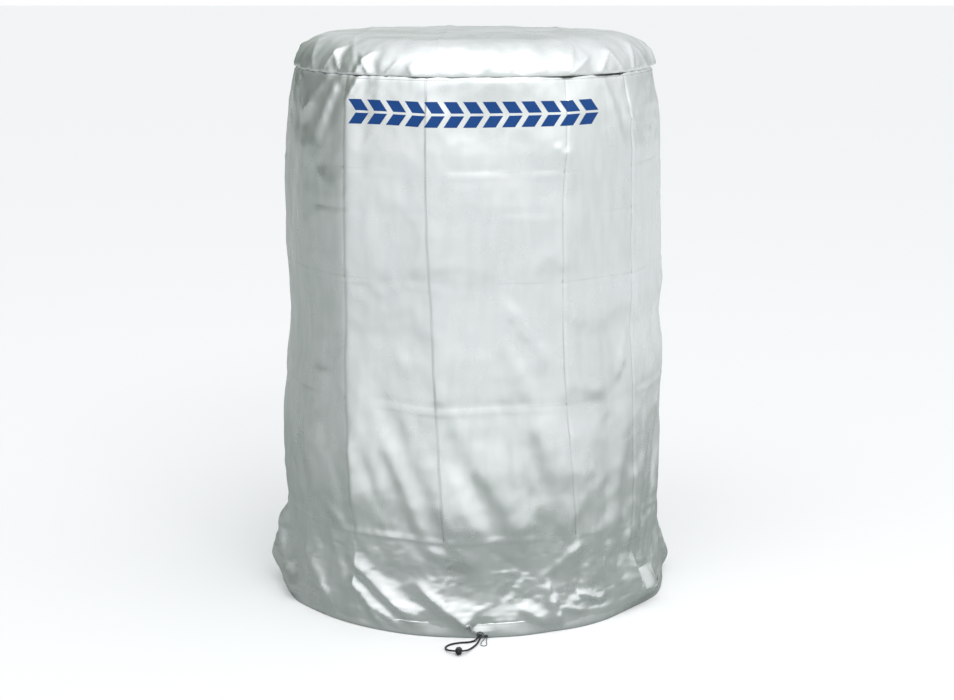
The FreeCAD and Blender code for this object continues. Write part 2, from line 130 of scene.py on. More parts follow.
# --- Folds, bumps and creases on the side --------------------------------------------------------
def fold(angle, height, start, end, rise, above, below, crest):
    """Ridge from start to end, both (angle, height), seen from outside. above and below are how far it
    reaches to its right and its left as it runs down, and crest rounds its top."""
    ex = around(end[0] - start[0]) * METRES_PER_DEGREE
    ey = end[1] - start[1]
    length = math.hypot(ex, ey)
    px = around(angle - start[0]) * METRES_PER_DEGREE
    py = height - start[1]
    along = (px * ex + py * ey) / length ** 2
    across = (py * ex - px * ey) / length
    window = smooth(-0.2, 0.25, along) * (1.0 - smooth(0.8, 1.2, along))
    reach = np.where(across > 0, above, below) * MM
    rounded = np.sqrt(across ** 2 + (crest * MM) ** 2) - crest * MM
    return rise * MM * window * np.exp(-(rounded / reach) ** 1.3)


def bump(angle, height, centre, size, rise):
    """Round swelling. centre and size are (angle or width in metres, height)."""
    px = around(angle - centre[0]) * METRES_PER_DEGREE / size[0]
    py = (height - centre[1]) / size[1]
    return rise * np.exp(-(px ** 2 + py ** 2))


def crease_angles(height):
    """Angle of every upright crease at each height."""
    return np.stack([np.interp(height, CREASE_HEIGHTS, crease[0]) for crease in UPRIGHT_CREASES])


def wall_radius(angle, height):
    """Radius of the draped wall before any crease or fold."""
    mm = height / MM
    rows = [np.interp(mm, WALL_HEIGHTS, w) for w in (WALL_BACK, WALL_LEFT, WALL_FRONT, WALL_RIGHT, WALL_BACK)]
    quarter = (around(angle) + 180.0) / 90.0
    index = np.clip(np.floor(quarter).astype(int), 0, 3)
    t = quarter - index
    t = t * t * (3.0 - 2.0 * t)
    stack = np.stack(rows)
    low = np.take_along_axis(stack, index[None], 0)[0]
    high = np.take_along_axis(stack, index[None] + 1, 0)[0]
    return (low * (1.0 - t) + high * t) * MM


def panels(angle, height):
    """Flat panels between the upright creases: the wall is a chord there instead of an arc."""
    at = crease_angles(height)
    after = np.concatenate([at[1:], at[:1] + 360.0])
    half = np.radians(after - at) / 2
    flatness = np.array([crease[1] for crease in UPRIGHT_CREASES]).reshape((-1,) + (1,) * np.ndim(height))
    sag = WALL_RADIUS * (1.0 - np.cos(half)) * flatness
    lift = np.minimum((sag + np.roll(sag, 1, axis=0)) / 3.0, 0.006)
    lift_after = np.roll(lift, -1, axis=0)
    result = np.zeros_like(height)
    for k in range(len(UPRIGHT_CREASES)):
        offset = (angle - at[k]) % 360.0
        span = after[k] - at[k]
        t = offset / span
        inside = (offset <= span)
        middle = np.radians(offset - span / 2)
        chord = WALL_RADIUS * (np.cos(half[k]) / np.cos(np.clip(middle, -1, 1)) - 1.0)
        value = lift[k] * (1 - t) + lift_after[k] * t + flatness[k] * chord
        result = np.where(inside, value, result)
    return result


def bands(angle, height):
    """Shallow outward swell between the level creases, with a kink at each crease."""
    edges = [h for h, _ in LEVEL_CREASES] + [SEAM_Z]
    result = np.zeros_like(height)
    for k, (low, puff) in enumerate(LEVEL_CREASES):
        t = (height - low) / (edges[k + 1] - low)
        inside = (t >= 0) & (t <= 1)
        strength = 0.6 + 0.4 * np.sin(np.radians(angle * 3.0 + 70.0 * k))
        result = np.where(inside, puff * MM * strength * 4 * t * (1 - t), result)
    return result


# Lean of the drapes at each angle, as a slope, and their depth in mm at each height in metres
DRAPE_ANGLES = (-180, -90, -45, 15, 45, 75, 130, 180)
DRAPE_LEANS = (0.3, 0.3, 0.5, 0.45, -0.1, -0.4, -0.3, 0.3)
DRAPE_PIVOT = 0.4
DRAPE_HEIGHTS = (0.03, 0.10, 0.18, 0.30, 0.42, 0.60)
DRAPE_DEPTHS = (0.0, 3.0, 5.5, 4.5, 1.8, 0.0)


def drapes(angle, height):
    """Soft drapery in the lower half. It leans to the right as it falls in front, and to the left at the
    right flank."""
    lean = np.interp(around(angle), DRAPE_ANGLES, DRAPE_LEANS)
    shifted = angle - lean * (DRAPE_PIVOT - height) / METRES_PER_DEGREE
    strength = np.interp(height, DRAPE_HEIGHTS, DRAPE_DEPTHS) * MM
    broad = billow(on_cylinder(shifted, WALL_RADIUS, height * 0.28), 0.060, 21)
    narrow = billow(on_cylinder(shifted + 40.0, WALL_RADIUS, height * 0.22), 0.030, 22)
    return strength * (1.3 * broad + 0.5 * narrow)


# start and end as (angle, height), then rise, reach above, reach below and crest in mm
FOLDS = (
    # The two long diagonal folds above the hem in front, and the lobe over the second
    ((-36.5, 0.118), (-17.0, 0.028), 12.0, 20.0, 7.0, 5.0),
    ((-15.0, 0.085), (1.0, 0.006), 12.0, 18.0, 7.0, 4.0),
    ((-12.5, 0.150), (2.0, 0.124), 6.0, 14.0, 8.0, 5.0),
    # Facets under the crease at the left
    ((-35.6, 0.080), (-26.5, 0.010), 7.0, 9.0, 5.0, 1.5),
    ((-36.0, 0.085), (-37.0, 0.020), 6.0, 9.0, 5.0, 1.5),
    ((-29.0, 0.042), (-21.0, 0.012), 4.0, 8.0, 4.0, 1.5),
    ((-46.0, 0.150), (-38.0, 0.060), 5.0, 14.0, 8.0, 3.0),
    ((-58.0, 0.115), (-46.0, 0.030), 6.0, 14.0, 8.0, 3.0),
    # Facets at the right
    ((3.0, 0.155), (14.5, 0.112), -5.0, 9.0, 16.0, 2.0),
    ((14.5, 0.112), (6.0, 0.040), -4.0, 14.0, 9.0, 2.0),
    ((20.5, 0.098), (25.3, 0.014), 8.0, 4.0, 12.0, 1.2),
    ((13.0, 0.050), (21.0, 0.018), 5.0, 12.0, 6.0, 3.0),
    ((30.5, 0.150), (21.0, 0.100), 5.0, 12.0, 8.0, 2.0),
    ((30.4, 0.100), (31.5, 0.058), -6.0, 3.0, 10.0, 1.0),
    ((31.0, 0.062), (39.5, 0.040), 5.0, 8.0, 4.0, 1.2),
    ((26.0, 0.040), (33.0, 0.028), 4.0, 9.0, 4.0, 1.5),
    ((41.0, 0.140), (49.0, 0.050), 5.0, 14.0, 9.0, 3.0),
    ((51.0, 0.150), (58.0, 0.022), 9.0, 5.0, 14.0, 2.0),
    # Drapery that runs down to the lowest level crease
    ((-37.0, 0.330), (-35.0, 0.190), 4.0, 10.0, 22.0, 6.0),
    ((-29.5, 0.300), (-24.5, 0.180), 4.0, 12.0, 14.0, 6.0),
    ((-24.0, 0.320), (-12.5, 0.160), 5.0, 24.0, 10.0, 6.0),
    ((-6.0, 0.290), (1.0, 0.180), 4.0, 12.0, 12.0, 6.0),
    ((0.5, 0.310), (14.0, 0.160), 5.0, 30.0, 10.0, 5.0),
    ((9.0, 0.565), (21.0, 0.470), 3.5, 8.0, 22.0, 3.0),
    ((8.0, 0.520), (17.0, 0.400), 3.0, 8.0, 20.0, 3.0),
    ((16.0, 0.385), (24.0, 0.250), 2.5, 18.0, 10.0, 3.0),
    ((36.0, 0.580), (40.0, 0.380), 2.5, 8.0, 18.0, 4.0),
    ((52.0, 0.500), (46.5, 0.420), 3.5, 4.0, 10.0, 1.5),
    # Creases at the left shoulder and flank
    ((-44.0, 0.918), (-52.0, 0.830), 5.0, 5.0, 12.0, 1.2),
    ((-50.0, 0.922), (-62.0, 0.850), 5.0, 6.0, 10.0, 1.2),
    ((-36.0, 0.920), (-40.0, 0.880), 5.0, 5.0, 8.0, 1.2),
    ((-60.0, 0.330), (-66.0, 0.250), 4.0, 4.0, 8.0, 1.2),
    ((-47.0, 0.200), (-40.0, 0.170), 5.0, 8.0, 6.0, 2.0),
    # Creases beside the print's right end
    ((24.0, 0.815), (28.5, 0.795), 3.0, 3.0, 6.0, 1.0),
    ((50.0, 0.855), (56.0, 0.845), 3.0, 3.0, 6.0, 1.0),
    ((44.0, 0.910), (50.0, 0.800), 3.0, 6.0, 12.0, 2.0),
)


def skirt(angle, height):
    """Tucks where the spare length of the side piles up above the drawn hem."""
    result = np.zeros_like(height)
    for start, end, rise, above, below, crest in FOLDS:
        result += fold(angle, height, start, end, rise, above, below, crest)
    result += bump(angle, height, (-66.0, 0.022), (0.034, 0.020), 0.011)
    result += bump(angle, height, (-69.0, 0.052), (0.024, 0.010), -0.012)
    result += bump(angle, height, (63.0, 0.026), (0.034, 0.022), 0.012)
    result += bump(angle, height, (61.5, 0.058), (0.022, 0.010), -0.012)
    for across, top, lean, bottom, rise in RANDOM_TUCKS:
        start = (72.0 + 218.0 * across, 0.09 + 0.08 * top)
        end = (start[0] + 30.0 * (lean - 0.4), 0.012 + 0.03 * bottom)
        result += fold(angle, height, start, end, 4.0 + 8.0 * rise, 16.0, 8.0, 3.0)
    clear_of_eyelet = smooth(2.4, 5.0, np.abs(around(angle) - 2.4) + 100.0 * np.maximum(height - 0.016, 0.0))
    return result * smooth(0.003, 0.018, height) * clear_of_eyelet


def large_shape(angle, height):
    """Radius of the side with its panels, bands, drapes and tucks."""
    upper = 1.0 - smooth(0.86, SEAM_Z, height)
    lower = smooth(0.02, 0.10, height)
    shape = wall_radius(angle, height)
    shape = shape + panels(angle, height) * (0.25 + 0.75 * upper) * (0.15 + 0.85 * lower)
    shape = shape + bands(angle, height) + drapes(angle, height) + skirt(angle, height)
    return shape


def seam_pucker(angle):
    """Small gathers where the top is sewn to the side."""
    points = on_cylinder(angle, SEAM_RADIUS, 0.0)
    return billow(points, 0.009, 3) * 0.6 + billow(points, 0.022, 5)


def crease_depth(angle, height):
    """The groove of each upright crease, with the cloth that leans into it."""
    at = crease_angles(height)
    upper = 1.0 - 0.7 * smooth(0.88, SEAM_Z, height)
    lower = smooth(0.12, 0.18, height)
    result = np.zeros_like(height)
    for k, (_, _, depth, left, right) in enumerate(UPRIGHT_CREASES):
        gap = around(angle - at[k]) * METRES_PER_DEGREE
        reach = np.where(gap < 0, left, right) * MM
        result -= depth * MM * np.exp(-np.abs(gap) / reach)
    return result * upper * lower


def level_ridge(angle, height):
    """Narrow raised line of each level crease, stronger in some places than in others."""
    result = np.zeros_like(height)
    for k, (level, _) in enumerate(LEVEL_CREASES):
        spots = billow(on_cylinder(angle, WALL_RADIUS, 0.0 * angle + 0.3 * k), 0.10, 17)
        strength = smooth(-0.25, 0.35, spots)
        result += 0.0010 * strength * np.exp(-((height - level) / 0.0045) ** 2)
        result -= 0.0006 * strength * np.exp(-((height - level - 0.009) / 0.006) ** 2)
    return result


def side_detail(angle, height, points):
    """Creases, crumple, streaks, seam gathers and the valley at the top seam, as a radial offset."""
    flank = smooth(38.0, 60.0, np.abs(around(angle)))
    low = 1.0 - smooth(0.10, 0.34, height)
    strength = 0.68 + 0.22 * flank + 0.5 * low + 0.5 * smooth(0.84, 0.90, height)
    crumple = (ridged(points, 0.090, 1) - 0.55) * 0.0032 + (ridged(points, 0.034, 2) - 0.55) * 0.0010
    streaks = billow(points * np.array([1.0, 1.0, 0.16]), 0.026, 11) * 0.0006
    below_seam = SEAM_Z - height
    valley = -0.0024 * np.exp(-below_seam / 0.003)
    gathers = 0.0013 * seam_pucker(angle) * np.exp(-below_seam / 0.016)
    fine = (crumple * strength + streaks) * smooth(0.022, 0.05, height)
    return fine + valley + gathers + crease_depth(angle, height) + level_ridge(angle, height)


# --- Meshes --------------------------------------------------------------------------------------
def mesh_object(name, vertices, faces):
    """Smooth-shaded mesh in the scene."""
    mesh = bpy.data.meshes.new(name)
    mesh.from_pydata([tuple(v) for v in vertices], [], faces)
    mesh.update()
    mesh.polygons.foreach_set("use_smooth", [True] * len(mesh.polygons))
    piece = bpy.data.objects.new(name, mesh)
    bpy.context.scene.collection.objects.link(piece)
    return piece


def ring_faces(rows, columns):
    """Quads of a grid of rows round a ring of columns, facing outward when rows run upward."""
    faces = []
    for j in range(rows - 1):
        for i in range(columns):
            k = (i + 1) % columns
            faces.append((j * columns + i, j * columns + k, (j + 1) * columns + k, (j + 1) * columns + i))
    return faces


def floor_square(reach):
    """Corners of a square on the floor."""
    return [(-reach, -reach, 0), (reach, -reach, 0), (reach, reach, 0), (-reach, reach, 0)]


def add_uv(piece, u, v):
    """UV map in metres from one u and one v for each vertex, with the last quad of each row unwrapped."""
    mesh = piece.data
    layer = mesh.uv_layers.new(name="cloth")
    index = np.zeros(len(mesh.loops), int)
    mesh.loops.foreach_get("vertex_index", index)
    uv = np.stack([u.ravel()[index], v.ravel()[index]], axis=-1)
    quads = uv.reshape(-1, 4, 2)
    wraps = (quads[:, :, 0].max(1) - quads[:, :, 0].min(1)) > WALL_RADIUS
    low = quads[:, :, 0] < quads[:, :, 0].mean(1)[:, None]
    quads[:, :, 0] += np.where(wraps[:, None] & low, 2 * math.pi * WALL_RADIUS, 0.0)
    layer.data.foreach_set("uv", quads.ravel())


def add_value(piece, name, values):
    """One number for each vertex, for the material to read."""
    attribute = piece.data.attributes.new(name, "FLOAT", "POINT")
    attribute.data.foreach_set("value", np.asarray(values, float).ravel())


SIDE_COLUMNS = 236
SKIRT_ROWS = 34
MIDDLE_ROWS = 56
SEAM_ROWS = 14
SKIRT_TOP = 0.165
MIDDLE_TOP = 0.80
SETTLE_FRAMES = 30
SETTLE_BOTTOM = 0.027
SETTLE_TOP = 0.19
SPARE_LENGTH = 0.014           # cloth that the hem holds up, so it piles up above the hem
TYRE_RADIUS = 0.317            # of the drum that the cloth lies on while it settles
TYRE_WIDTH = 0.235
TYRE_GROOVE = 0.006
DRUM_ROWS = 48
DRUM_COLUMNS = 96


def side_grid():
    """Angle and height of every vertex of the side, with columns and rows laid along the creases.
    Also returns which columns and rows are creases."""
    plain = np.linspace(-180.0, 180.0, SIDE_COLUMNS, endpoint=False)
    heights = np.concatenate([
        np.linspace(SIDE_BOTTOM, SKIRT_TOP, SKIRT_ROWS, endpoint=False),
        np.linspace(SKIRT_TOP, MIDDLE_TOP, MIDDLE_ROWS, endpoint=False),
        np.linspace(MIDDLE_TOP, SEAM_Z, SEAM_ROWS),
    ])
    levels = np.array([h for h, _ in LEVEL_CREASES])
    level_rows = [int(np.argmin(np.abs(heights - h))) for h in levels]
    heights = np.interp(
        heights,
        np.concatenate([[SIDE_BOTTOM], heights[level_rows], [SEAM_Z]]),
        np.concatenate([[SIDE_BOTTOM], levels, [SEAM_Z]]))
    crease_columns = [int(np.argmin(np.abs(plain - a))) for a in crease_angles(0.45)]
    step = 360.0 / SIDE_COLUMNS
    at = plain[crease_columns]
    anchors = np.concatenate([[a - step, a, a + step] for a in at])
    angle, height = np.meshgrid(plain, heights)
    for j, h in enumerate(heights):
        goals = np.concatenate([
            [a - CREASE_COLUMN_GAP, a, a + CREASE_COLUMN_GAP] for a in crease_angles(h)])
        angle[j] = np.interp(
            plain,
            np.concatenate([anchors[-1:] - 360.0, anchors, anchors[:1] + 360.0]),
            np.concatenate([goals[-1:] - 360.0, goals, goals[:1] + 360.0]))
    sharp_columns = np.zeros(SIDE_COLUMNS, bool)
    sharp_columns[crease_columns] = True
    sharp_rows = np.zeros(len(heights), bool)
    sharp_rows[level_rows] = True
    return angle, height, sharp_columns, sharp_rows


def doubled(values, sharp, closed, turn=0.0):
    """Grid with a new column between each two, on a smooth curve that keeps its kink at a sharp column.
    turn is what one round adds to the values."""
    after = np.roll(values, -1, axis=1)
    before = np.roll(values, 1, axis=1)
    after[:, -1] = values[:, 0] + turn if closed else 2 * values[:, -1] - values[:, -2]
    before[:, 0] = values[:, -1] - turn if closed else 2 * values[:, 0] - values[:, 1]
    mean = (after - before) / 2
    kink = sharp[None, :, None]
    leaving = np.where(kink, after - values, mean)
    arriving = np.where(kink, values - before, mean)
    middle = (values + after) / 2 + (leaving - np.roll(arriving, -1, axis=1)) / 8
    result = np.empty((values.shape[0], values.shape[1] * 2, values.shape[2]))
    result[:, 0::2] = values
    result[:, 1::2] = middle
    return result if closed else result[:, :-1]


def refined(values, sharp_columns, sharp_rows, turn=0.0):
    """Ring grid with twice the columns and rows."""
    wide = doubled(values, sharp_columns, True, turn)
    tall = doubled(wide.transpose(1, 0, 2), sharp_rows, False)
    return tall.transpose(1, 0, 2)


def grid_normals(points):
    """Outward unit normal at each vertex of a ring grid whose rows run upward."""
    across = np.roll(points, -1, axis=1) - np.roll(points, 1, axis=1)
    up = np.gradient(points, axis=0)
    normal = np.cross(across, up)
    return normal / np.linalg.norm(normal, axis=-1, keepdims=True)


def collider(name, vertices, faces):
    """Solid that the settling cloth can't pass through."""
    piece = mesh_object(name, vertices, faces)
    piece.modifiers.new("collision", "COLLISION")
    piece.collision.thickness_outer = 0.002
    piece.collision.cloth_friction = 12.0
    return piece


def tyre_collider():
    """Smooth drum the size of the tyre stack, for the cloth to lie on while it settles."""
    ring = np.linspace(-180, 180, DRUM_COLUMNS, endpoint=False)
    angle, height = np.meshgrid(ring, np.linspace(0.0, 0.93, DRUM_ROWS))
    radius = TYRE_RADIUS - TYRE_GROOVE * np.abs(np.sin(np.pi * height / TYRE_WIDTH)) ** 8
    points = on_cylinder(angle, radius, height)
    return collider("tyre_stack", points.reshape(-1, 3), ring_faces(DRUM_ROWS, DRUM_COLUMNS))


def settled(start, cut, held, faces, frames):
    """Points of the cloth after it has settled from start under gravity, with cut as its unstressed shape.
    held is 1 where the cloth is held in place."""
    piece = mesh_object("settling_cloth", start.reshape(-1, 3), faces)
    piece.shape_key_add(name="Basis")
    key = piece.shape_key_add(name="cut")
    key.data.foreach_set("co", cut.ravel())
    group = piece.vertex_groups.new(name="held")
    flat = held.ravel()
    for weight in np.unique(flat[flat > 0]):
        group.add(np.nonzero(flat == weight)[0].tolist(), float(weight), "REPLACE")
    cloth = piece.modifiers.new("cloth", "CLOTH")
    settings = cloth.settings
    settings.quality = 7
    settings.mass = 0.25
    settings.air_damping = 3.0
    settings.tension_stiffness = 60
    settings.compression_stiffness = 60
    settings.shear_stiffness = 30
    settings.bending_stiffness = 25.0
    settings.tension_damping = 12
    settings.compression_damping = 12
    settings.shear_damping = 8
    settings.bending_damping = 5.0
    settings.vertex_group_mass = "held"
    settings.pin_stiffness = 1.0
    settings.rest_shape_key = key
    cloth.collision_settings.distance_min = 0.002
    cloth.collision_settings.use_self_collision = False
    cloth.point_cache.frame_start = 1
    cloth.point_cache.frame_end = frames
    scene = bpy.context.scene
    for frame_number in range(1, frames + 1):
        scene.frame_set(frame_number)
    evaluated = piece.evaluated_get(bpy.context.evaluated_depsgraph_get())
    mesh = evaluated.to_mesh()
    result = np.empty(len(mesh.vertices) * 3)
    mesh.vertices.foreach_get("co", result)
    evaluated.to_mesh_clear()
    bpy.data.objects.remove(piece)
    scene.frame_set(1)
    return result.reshape(start.shape)


def settled_side(angle, height, start):
    """The side after the spare length of its skirt has buckled above the hem."""
    rows = int(np.argmax(height[:, 0] > SETTLE_TOP)) + 3
    angle, height = angle[:rows], height[:rows]
    plain = wall_radius(angle, height) + panels(angle, height) * smooth(0.02, 0.16, height)
    extra = np.interp(height, (0.0, 0.026, 0.165, 0.30), (0.0, 0.0, SPARE_LENGTH, SPARE_LENGTH))
    cut = on_cylinder(angle, plain, height + extra)
    held = np.zeros(angle.shape)
    held[height <= SETTLE_BOTTOM] = 1.0
    held[height >= SETTLE_TOP] = 1.0
    floor = collider("floor_below", floor_square(1), [(0, 1, 2, 3)])
    tyres = tyre_collider()
    result = start.copy()
    result[:rows] = settled(start[:rows], cut, held, ring_faces(*angle.shape), SETTLE_FRAMES)
    bpy.data.objects.remove(tyres)
    bpy.data.objects.remove(floor)
    return result


def painted_crease_light(angle, height):
    """Painted highlight and painted shade along the creases: positive in a bright line beside each upright
    crease and just below each level crease, negative in a dark line on the upright crease's other side and
    just above each level crease.
    """
    at = crease_angles(height)
    gap = around(angle - at) * METRES_PER_DEGREE
    depth = np.array([crease[2] for crease in UPRIGHT_CREASES]).reshape(-1, 1, 1)
    weight = smooth(0.6, 2.4, depth)
    bright = (weight * np.exp(-((gap - 0.0030) / 0.0022) ** 2)).max(0)
    dark = (weight * np.exp(-((gap + 0.0015) / 0.0018) ** 2)).max(0)
    strength = 0.7 + 0.3 * billow(on_cylinder(angle, WALL_RADIUS, height), 0.05, 15)
    level = np.stack([height - h for h, _ in LEVEL_CREASES])
    bright_level = np.exp(-((level + 0.001) / 0.0025) ** 2).max(0)
    dark_level = np.exp(-((level - 0.004) / 0.0025) ** 2).max(0)
    broken = smooth(-0.3, 0.3, billow(on_cylinder(angle, WALL_RADIUS, height), 0.11, 16))
    return (bright - dark) * strength + (0.5 * bright_level - 0.6 * dark_level) * broken


def level_waver(angle, height):
    """Up and down waver of the level creases, so that they aren't ruled lines."""
    points = on_cylinder(angle, WALL_RADIUS, height)
    room = smooth(0.02, 0.16, height) * (1.0 - smooth(0.80, 0.90, height))
    return 0.006 * billow(points * np.array([1.0, 1.0, 0.4]), 0.16, 9) * room


def build_side():
    angle, height, sharp_columns, sharp_rows = side_grid()
    start = on_cylinder(angle, large_shape(angle, height), height + level_waver(angle, height))
    points = settled_side(angle, height, start)
    points = refined(points, sharp_columns, sharp_rows)
    angle = refined(angle[..., None], sharp_columns, sharp_rows, 360.0)[..., 0]
    height = refined(height[..., None], sharp_columns, sharp_rows)[..., 0]
    flat_points = on_cylinder(angle, WALL_RADIUS, height)
    points = points + grid_normals(points) * side_detail(angle, height, flat_points)[..., None]
    piece = mesh_object("side_cloth", points.reshape(-1, 3), ring_faces(*angle.shape))
    add_uv(piece, np.radians(angle) * WALL_RADIUS, height)
    # Painted highlight and painted shade along the creases, stored for the cloth's colour
    add_value(piece, "painted_crease_light", painted_crease_light(angle, height) * smooth(0.13, 0.17, height))
    return piece, angle, height, points


# --- Round top -----------------------------------------------------------------------------------
TOP_COLUMNS = 400
ROLL_RADIUS = 0.064
FLAT_RADIUS = SEAM_RADIUS - math.sqrt(ROLL_RADIUS ** 2 - (SEAM_Z - TOP_Z + ROLL_RADIUS) ** 2)
ROLL_ANGLE = math.acos((SEAM_Z - TOP_Z + ROLL_RADIUS) / ROLL_RADIUS)
TOP_CUT_RADIUS = FLAT_RADIUS + ROLL_RADIUS * ROLL_ANGLE

# Small folds of the shoulder: start and end as (angle, distance from the middle), then rise and reach in mm
TOP_FOLDS = (
    ((-76, 0.330), (-66, 0.262), 3.5, 7.0),
    ((-60, 0.334), (-70, 0.270), 3.0, 6.0),
    ((-53, 0.336), (-45, 0.272), 4.0, 5.0),
    ((-45, 0.336), (-51, 0.288), 3.5, 4.0),
    ((-38, 0.336), (-32, 0.286), 3.5, 5.0),
    ((-33, 0.336), (-39, 0.294), 3.0, 4.0),
    ((-27, 0.336), (-21, 0.304), 2.5, 5.0),
    ((-18, 0.336), (-20, 0.312), 2.0, 5.0),
    ((2, 0.336), (7, 0.308), 2.0, 5.0),
    ((14, 0.336), (11, 0.312), 2.0, 4.0),
    ((31, 0.336), (42, 0.298), 3.0, 5.0),
    ((42, 0.336), (50, 0.290), 3.0, 5.0),
    ((53, 0.336), (46, 0.286), 3.0, 5.0),
    ((60, 0.334), (67, 0.272), 3.5, 6.0),
    ((73, 0.334), (64, 0.280), 3.0, 5.0),
)

# Straight packing creases across the top: angle of the line, distance from the centre (mm), rise (mm)
TOP_CREASES = (
    (89.0, -48.0, 2.0),
    (91.5, 156.0, 2.2),
    (88.0, -190.0, 1.8),
    (2.0, -60.0, 1.2),
    (-1.5, 95.0, 1.2),
    (1.0, -185.0, 1.0),
)


def plan_fold(plan, start, end, rise, reach):
    """Ridge on the top from start to end, both (angle, distance from the middle)."""
    a = on_cylinder(start[0], start[1], 0.0)[:2]
    b = on_cylinder(end[0], end[1], 0.0)[:2]
    along = np.clip(((plan[..., :2] - a) @ (b - a)) / ((b - a) @ (b - a)), 0.0, 1.0)
    gap = np.linalg.norm(plan[..., :2] - a - along[..., None] * (b - a), axis=-1)
    rounded = np.sqrt(gap ** 2 + MM ** 2) - MM
    return rise * MM * (1.0 - smooth(0.55, 1.0, along)) * np.exp(-rounded / (reach * MM))


def shoulder_folds(plan):
    """Folds where the top rolls over the shoulder: drawn in front, random elsewhere."""
    result = np.zeros(plan.shape[:-1])
    for start, end, rise, reach in TOP_FOLDS:
        result += plan_fold(plan, start, end, rise, reach)
    for across, lean, length, rise in RANDOM_TOP_FOLDS:
        start = (80.0 + 202.0 * across, 0.336)
        end = (start[0] + 22.0 * (lean - 0.5), 0.310 - 0.050 * length)
        result += plan_fold(plan, start, end, 1.5 + 2.5 * rise, 6.0)
    return 1.25 * result


def top_offset(angle, distance, points):
    """How far the top's cloth stands off the plain shape, along its normal."""
    plan = on_cylinder(angle, distance, 0.0)
    result = np.zeros_like(distance)
    for line, away, rise in TOP_CREASES:
        turn = math.radians(line)
        gap = plan[..., 0] * math.sin(turn) - plan[..., 1] * math.cos(turn) - away * MM
        result += rise * MM * np.exp(-np.abs(gap) / 0.006)
    from_seam = TOP_CUT_RADIUS - distance
    shoulder = 1.0 - smooth(0.02, 0.14, from_seam)
    gathers = 0.0026 * seam_pucker(angle) * np.exp(-from_seam / 0.020)
    spokes = billow(on_cylinder(angle, 0.16, 0.0) + np.array([0, 0, 0.05]) * from_seam[..., None], 0.020, 8)
    crumple = (ridged(points, 0.075, 4) - 0.55) * 0.0024 + (ridged(points, 0.024, 6) - 0.55) * 0.0007
    valley = -0.0018 * np.exp(-from_seam / 0.0022)
    fine = 0.0030 * spokes * shoulder + crumple * (0.35 + 0.9 * shoulder)
    return result + shoulder_folds(plan) + gathers + fine + valley


def build_top():
    plain = np.linspace(-180.0, 180.0, TOP_COLUMNS, endpoint=False)
    distances = np.concatenate([
        np.linspace(0.004, 0.20, 44, endpoint=False),
        np.linspace(0.20, 0.325, 60, endpoint=False),
        np.linspace(0.325, TOP_CUT_RADIUS, 12),
    ])
    angle, distance = np.meshgrid(plain, distances[::-1])
    turn = np.clip((distance - FLAT_RADIUS) / ROLL_RADIUS, 0.0, None)
    radius = np.minimum(distance, FLAT_RADIUS) + ROLL_RADIUS * np.sin(turn)
    height = TOP_Z - ROLL_RADIUS * (1.0 - np.cos(turn))
    points = on_cylinder(angle, radius, height)
    edge_match = np.exp(-(TOP_CUT_RADIUS - distance) / 0.03)
    side_radius = large_shape(angle, np.full_like(angle, SEAM_Z))
    offset = top_offset(angle, distance, points)
    radius = radius + np.sin(turn) * offset + (side_radius - SEAM_RADIUS) * edge_match
    height = height + np.cos(turn) * offset
    points = on_cylinder(angle, radius, height)
    rows, columns = angle.shape
    vertices = np.concatenate([points.reshape(-1, 3), [[0.0, 0.0, points[-1, :, 2].mean()]]])
    faces = ring_faces(rows, columns)
    centre = rows * columns
    last = (rows - 1) * columns
    faces += [(last + i, last + (i + 1) % columns, centre) for i in range(columns)]
    return mesh_object("top_cloth", vertices, faces)


# --- Small sewn pieces ---------------------------------------------------------------------------
CLOTH_TO_TAPE = 0.0006
THREAD_RADIUS = 0.0003
STITCH_LENGTH = 0.0032
STITCH_GAP = 0.0010
TOP_STITCH_HEIGHT = 0.919
HEM_STITCH_PLACE = (0.3452, 0.022)    # radius and height
BACK_RADIUS = 0.33             # radius of the wall at the back tape
BACK_TAPE_ENDS = (0.028, 0.914)
BACK_TAPE_HALF_WIDTH = 0.007
BACK_TAPE_THICKNESS = 0.0008
BACK_STITCH_ENDS = (0.030, 0.912)
BACK_STITCH_OFFSET = 0.005


def side_surface(side_points, side_angle, side_height):
    """Function that gives the side's point and outward normal at an angle and a height."""
    normals = grid_normals(side_points)
    angles = side_angle
    heights = side_height[:, 0]

    def at(angle, height):
        row = np.clip(np.interp(height, heights, np.arange(len(heights))), 0, len(heights) - 1.001)
        j = int(row)
        ring = angles[j]
        column = np.interp(angle, np.append(ring, ring[0] + 360.0), np.arange(len(ring) + 1))
        i = int(column)
        s, t = row - j, column - i
        k = (i + 1) % len(ring)
        i = i % len(ring)
        weights = ((j, i, (1 - s) * (1 - t)), (j, k, (1 - s) * t), (j + 1, i, s * (1 - t)), (j + 1, k, s * t))
        point = sum(side_points[a, b] * w for a, b, w in weights)
        normal = sum(normals[a, b] * w for a, b, w in weights)
        return point, normal / np.linalg.norm(normal)
    return at


def tape_piece(name, lines, thickness):
    """Closed strip: lines are cross lines of (point, normal) along it, and it is thickness thick."""
    count = len(lines[0])
    vertices = []
    for line in lines:
        vertices += [p + n * thickness for p, n in line]
        vertices += [p for p, _ in reversed(line)]
    ring = 2 * count
    faces = ring_faces(len(lines), ring)
    faces.append(tuple(reversed(range(ring))))
    last = (len(lines) - 1) * ring
    faces.append(tuple(range(last, last + ring)))
    return mesh_object(name, vertices, faces)


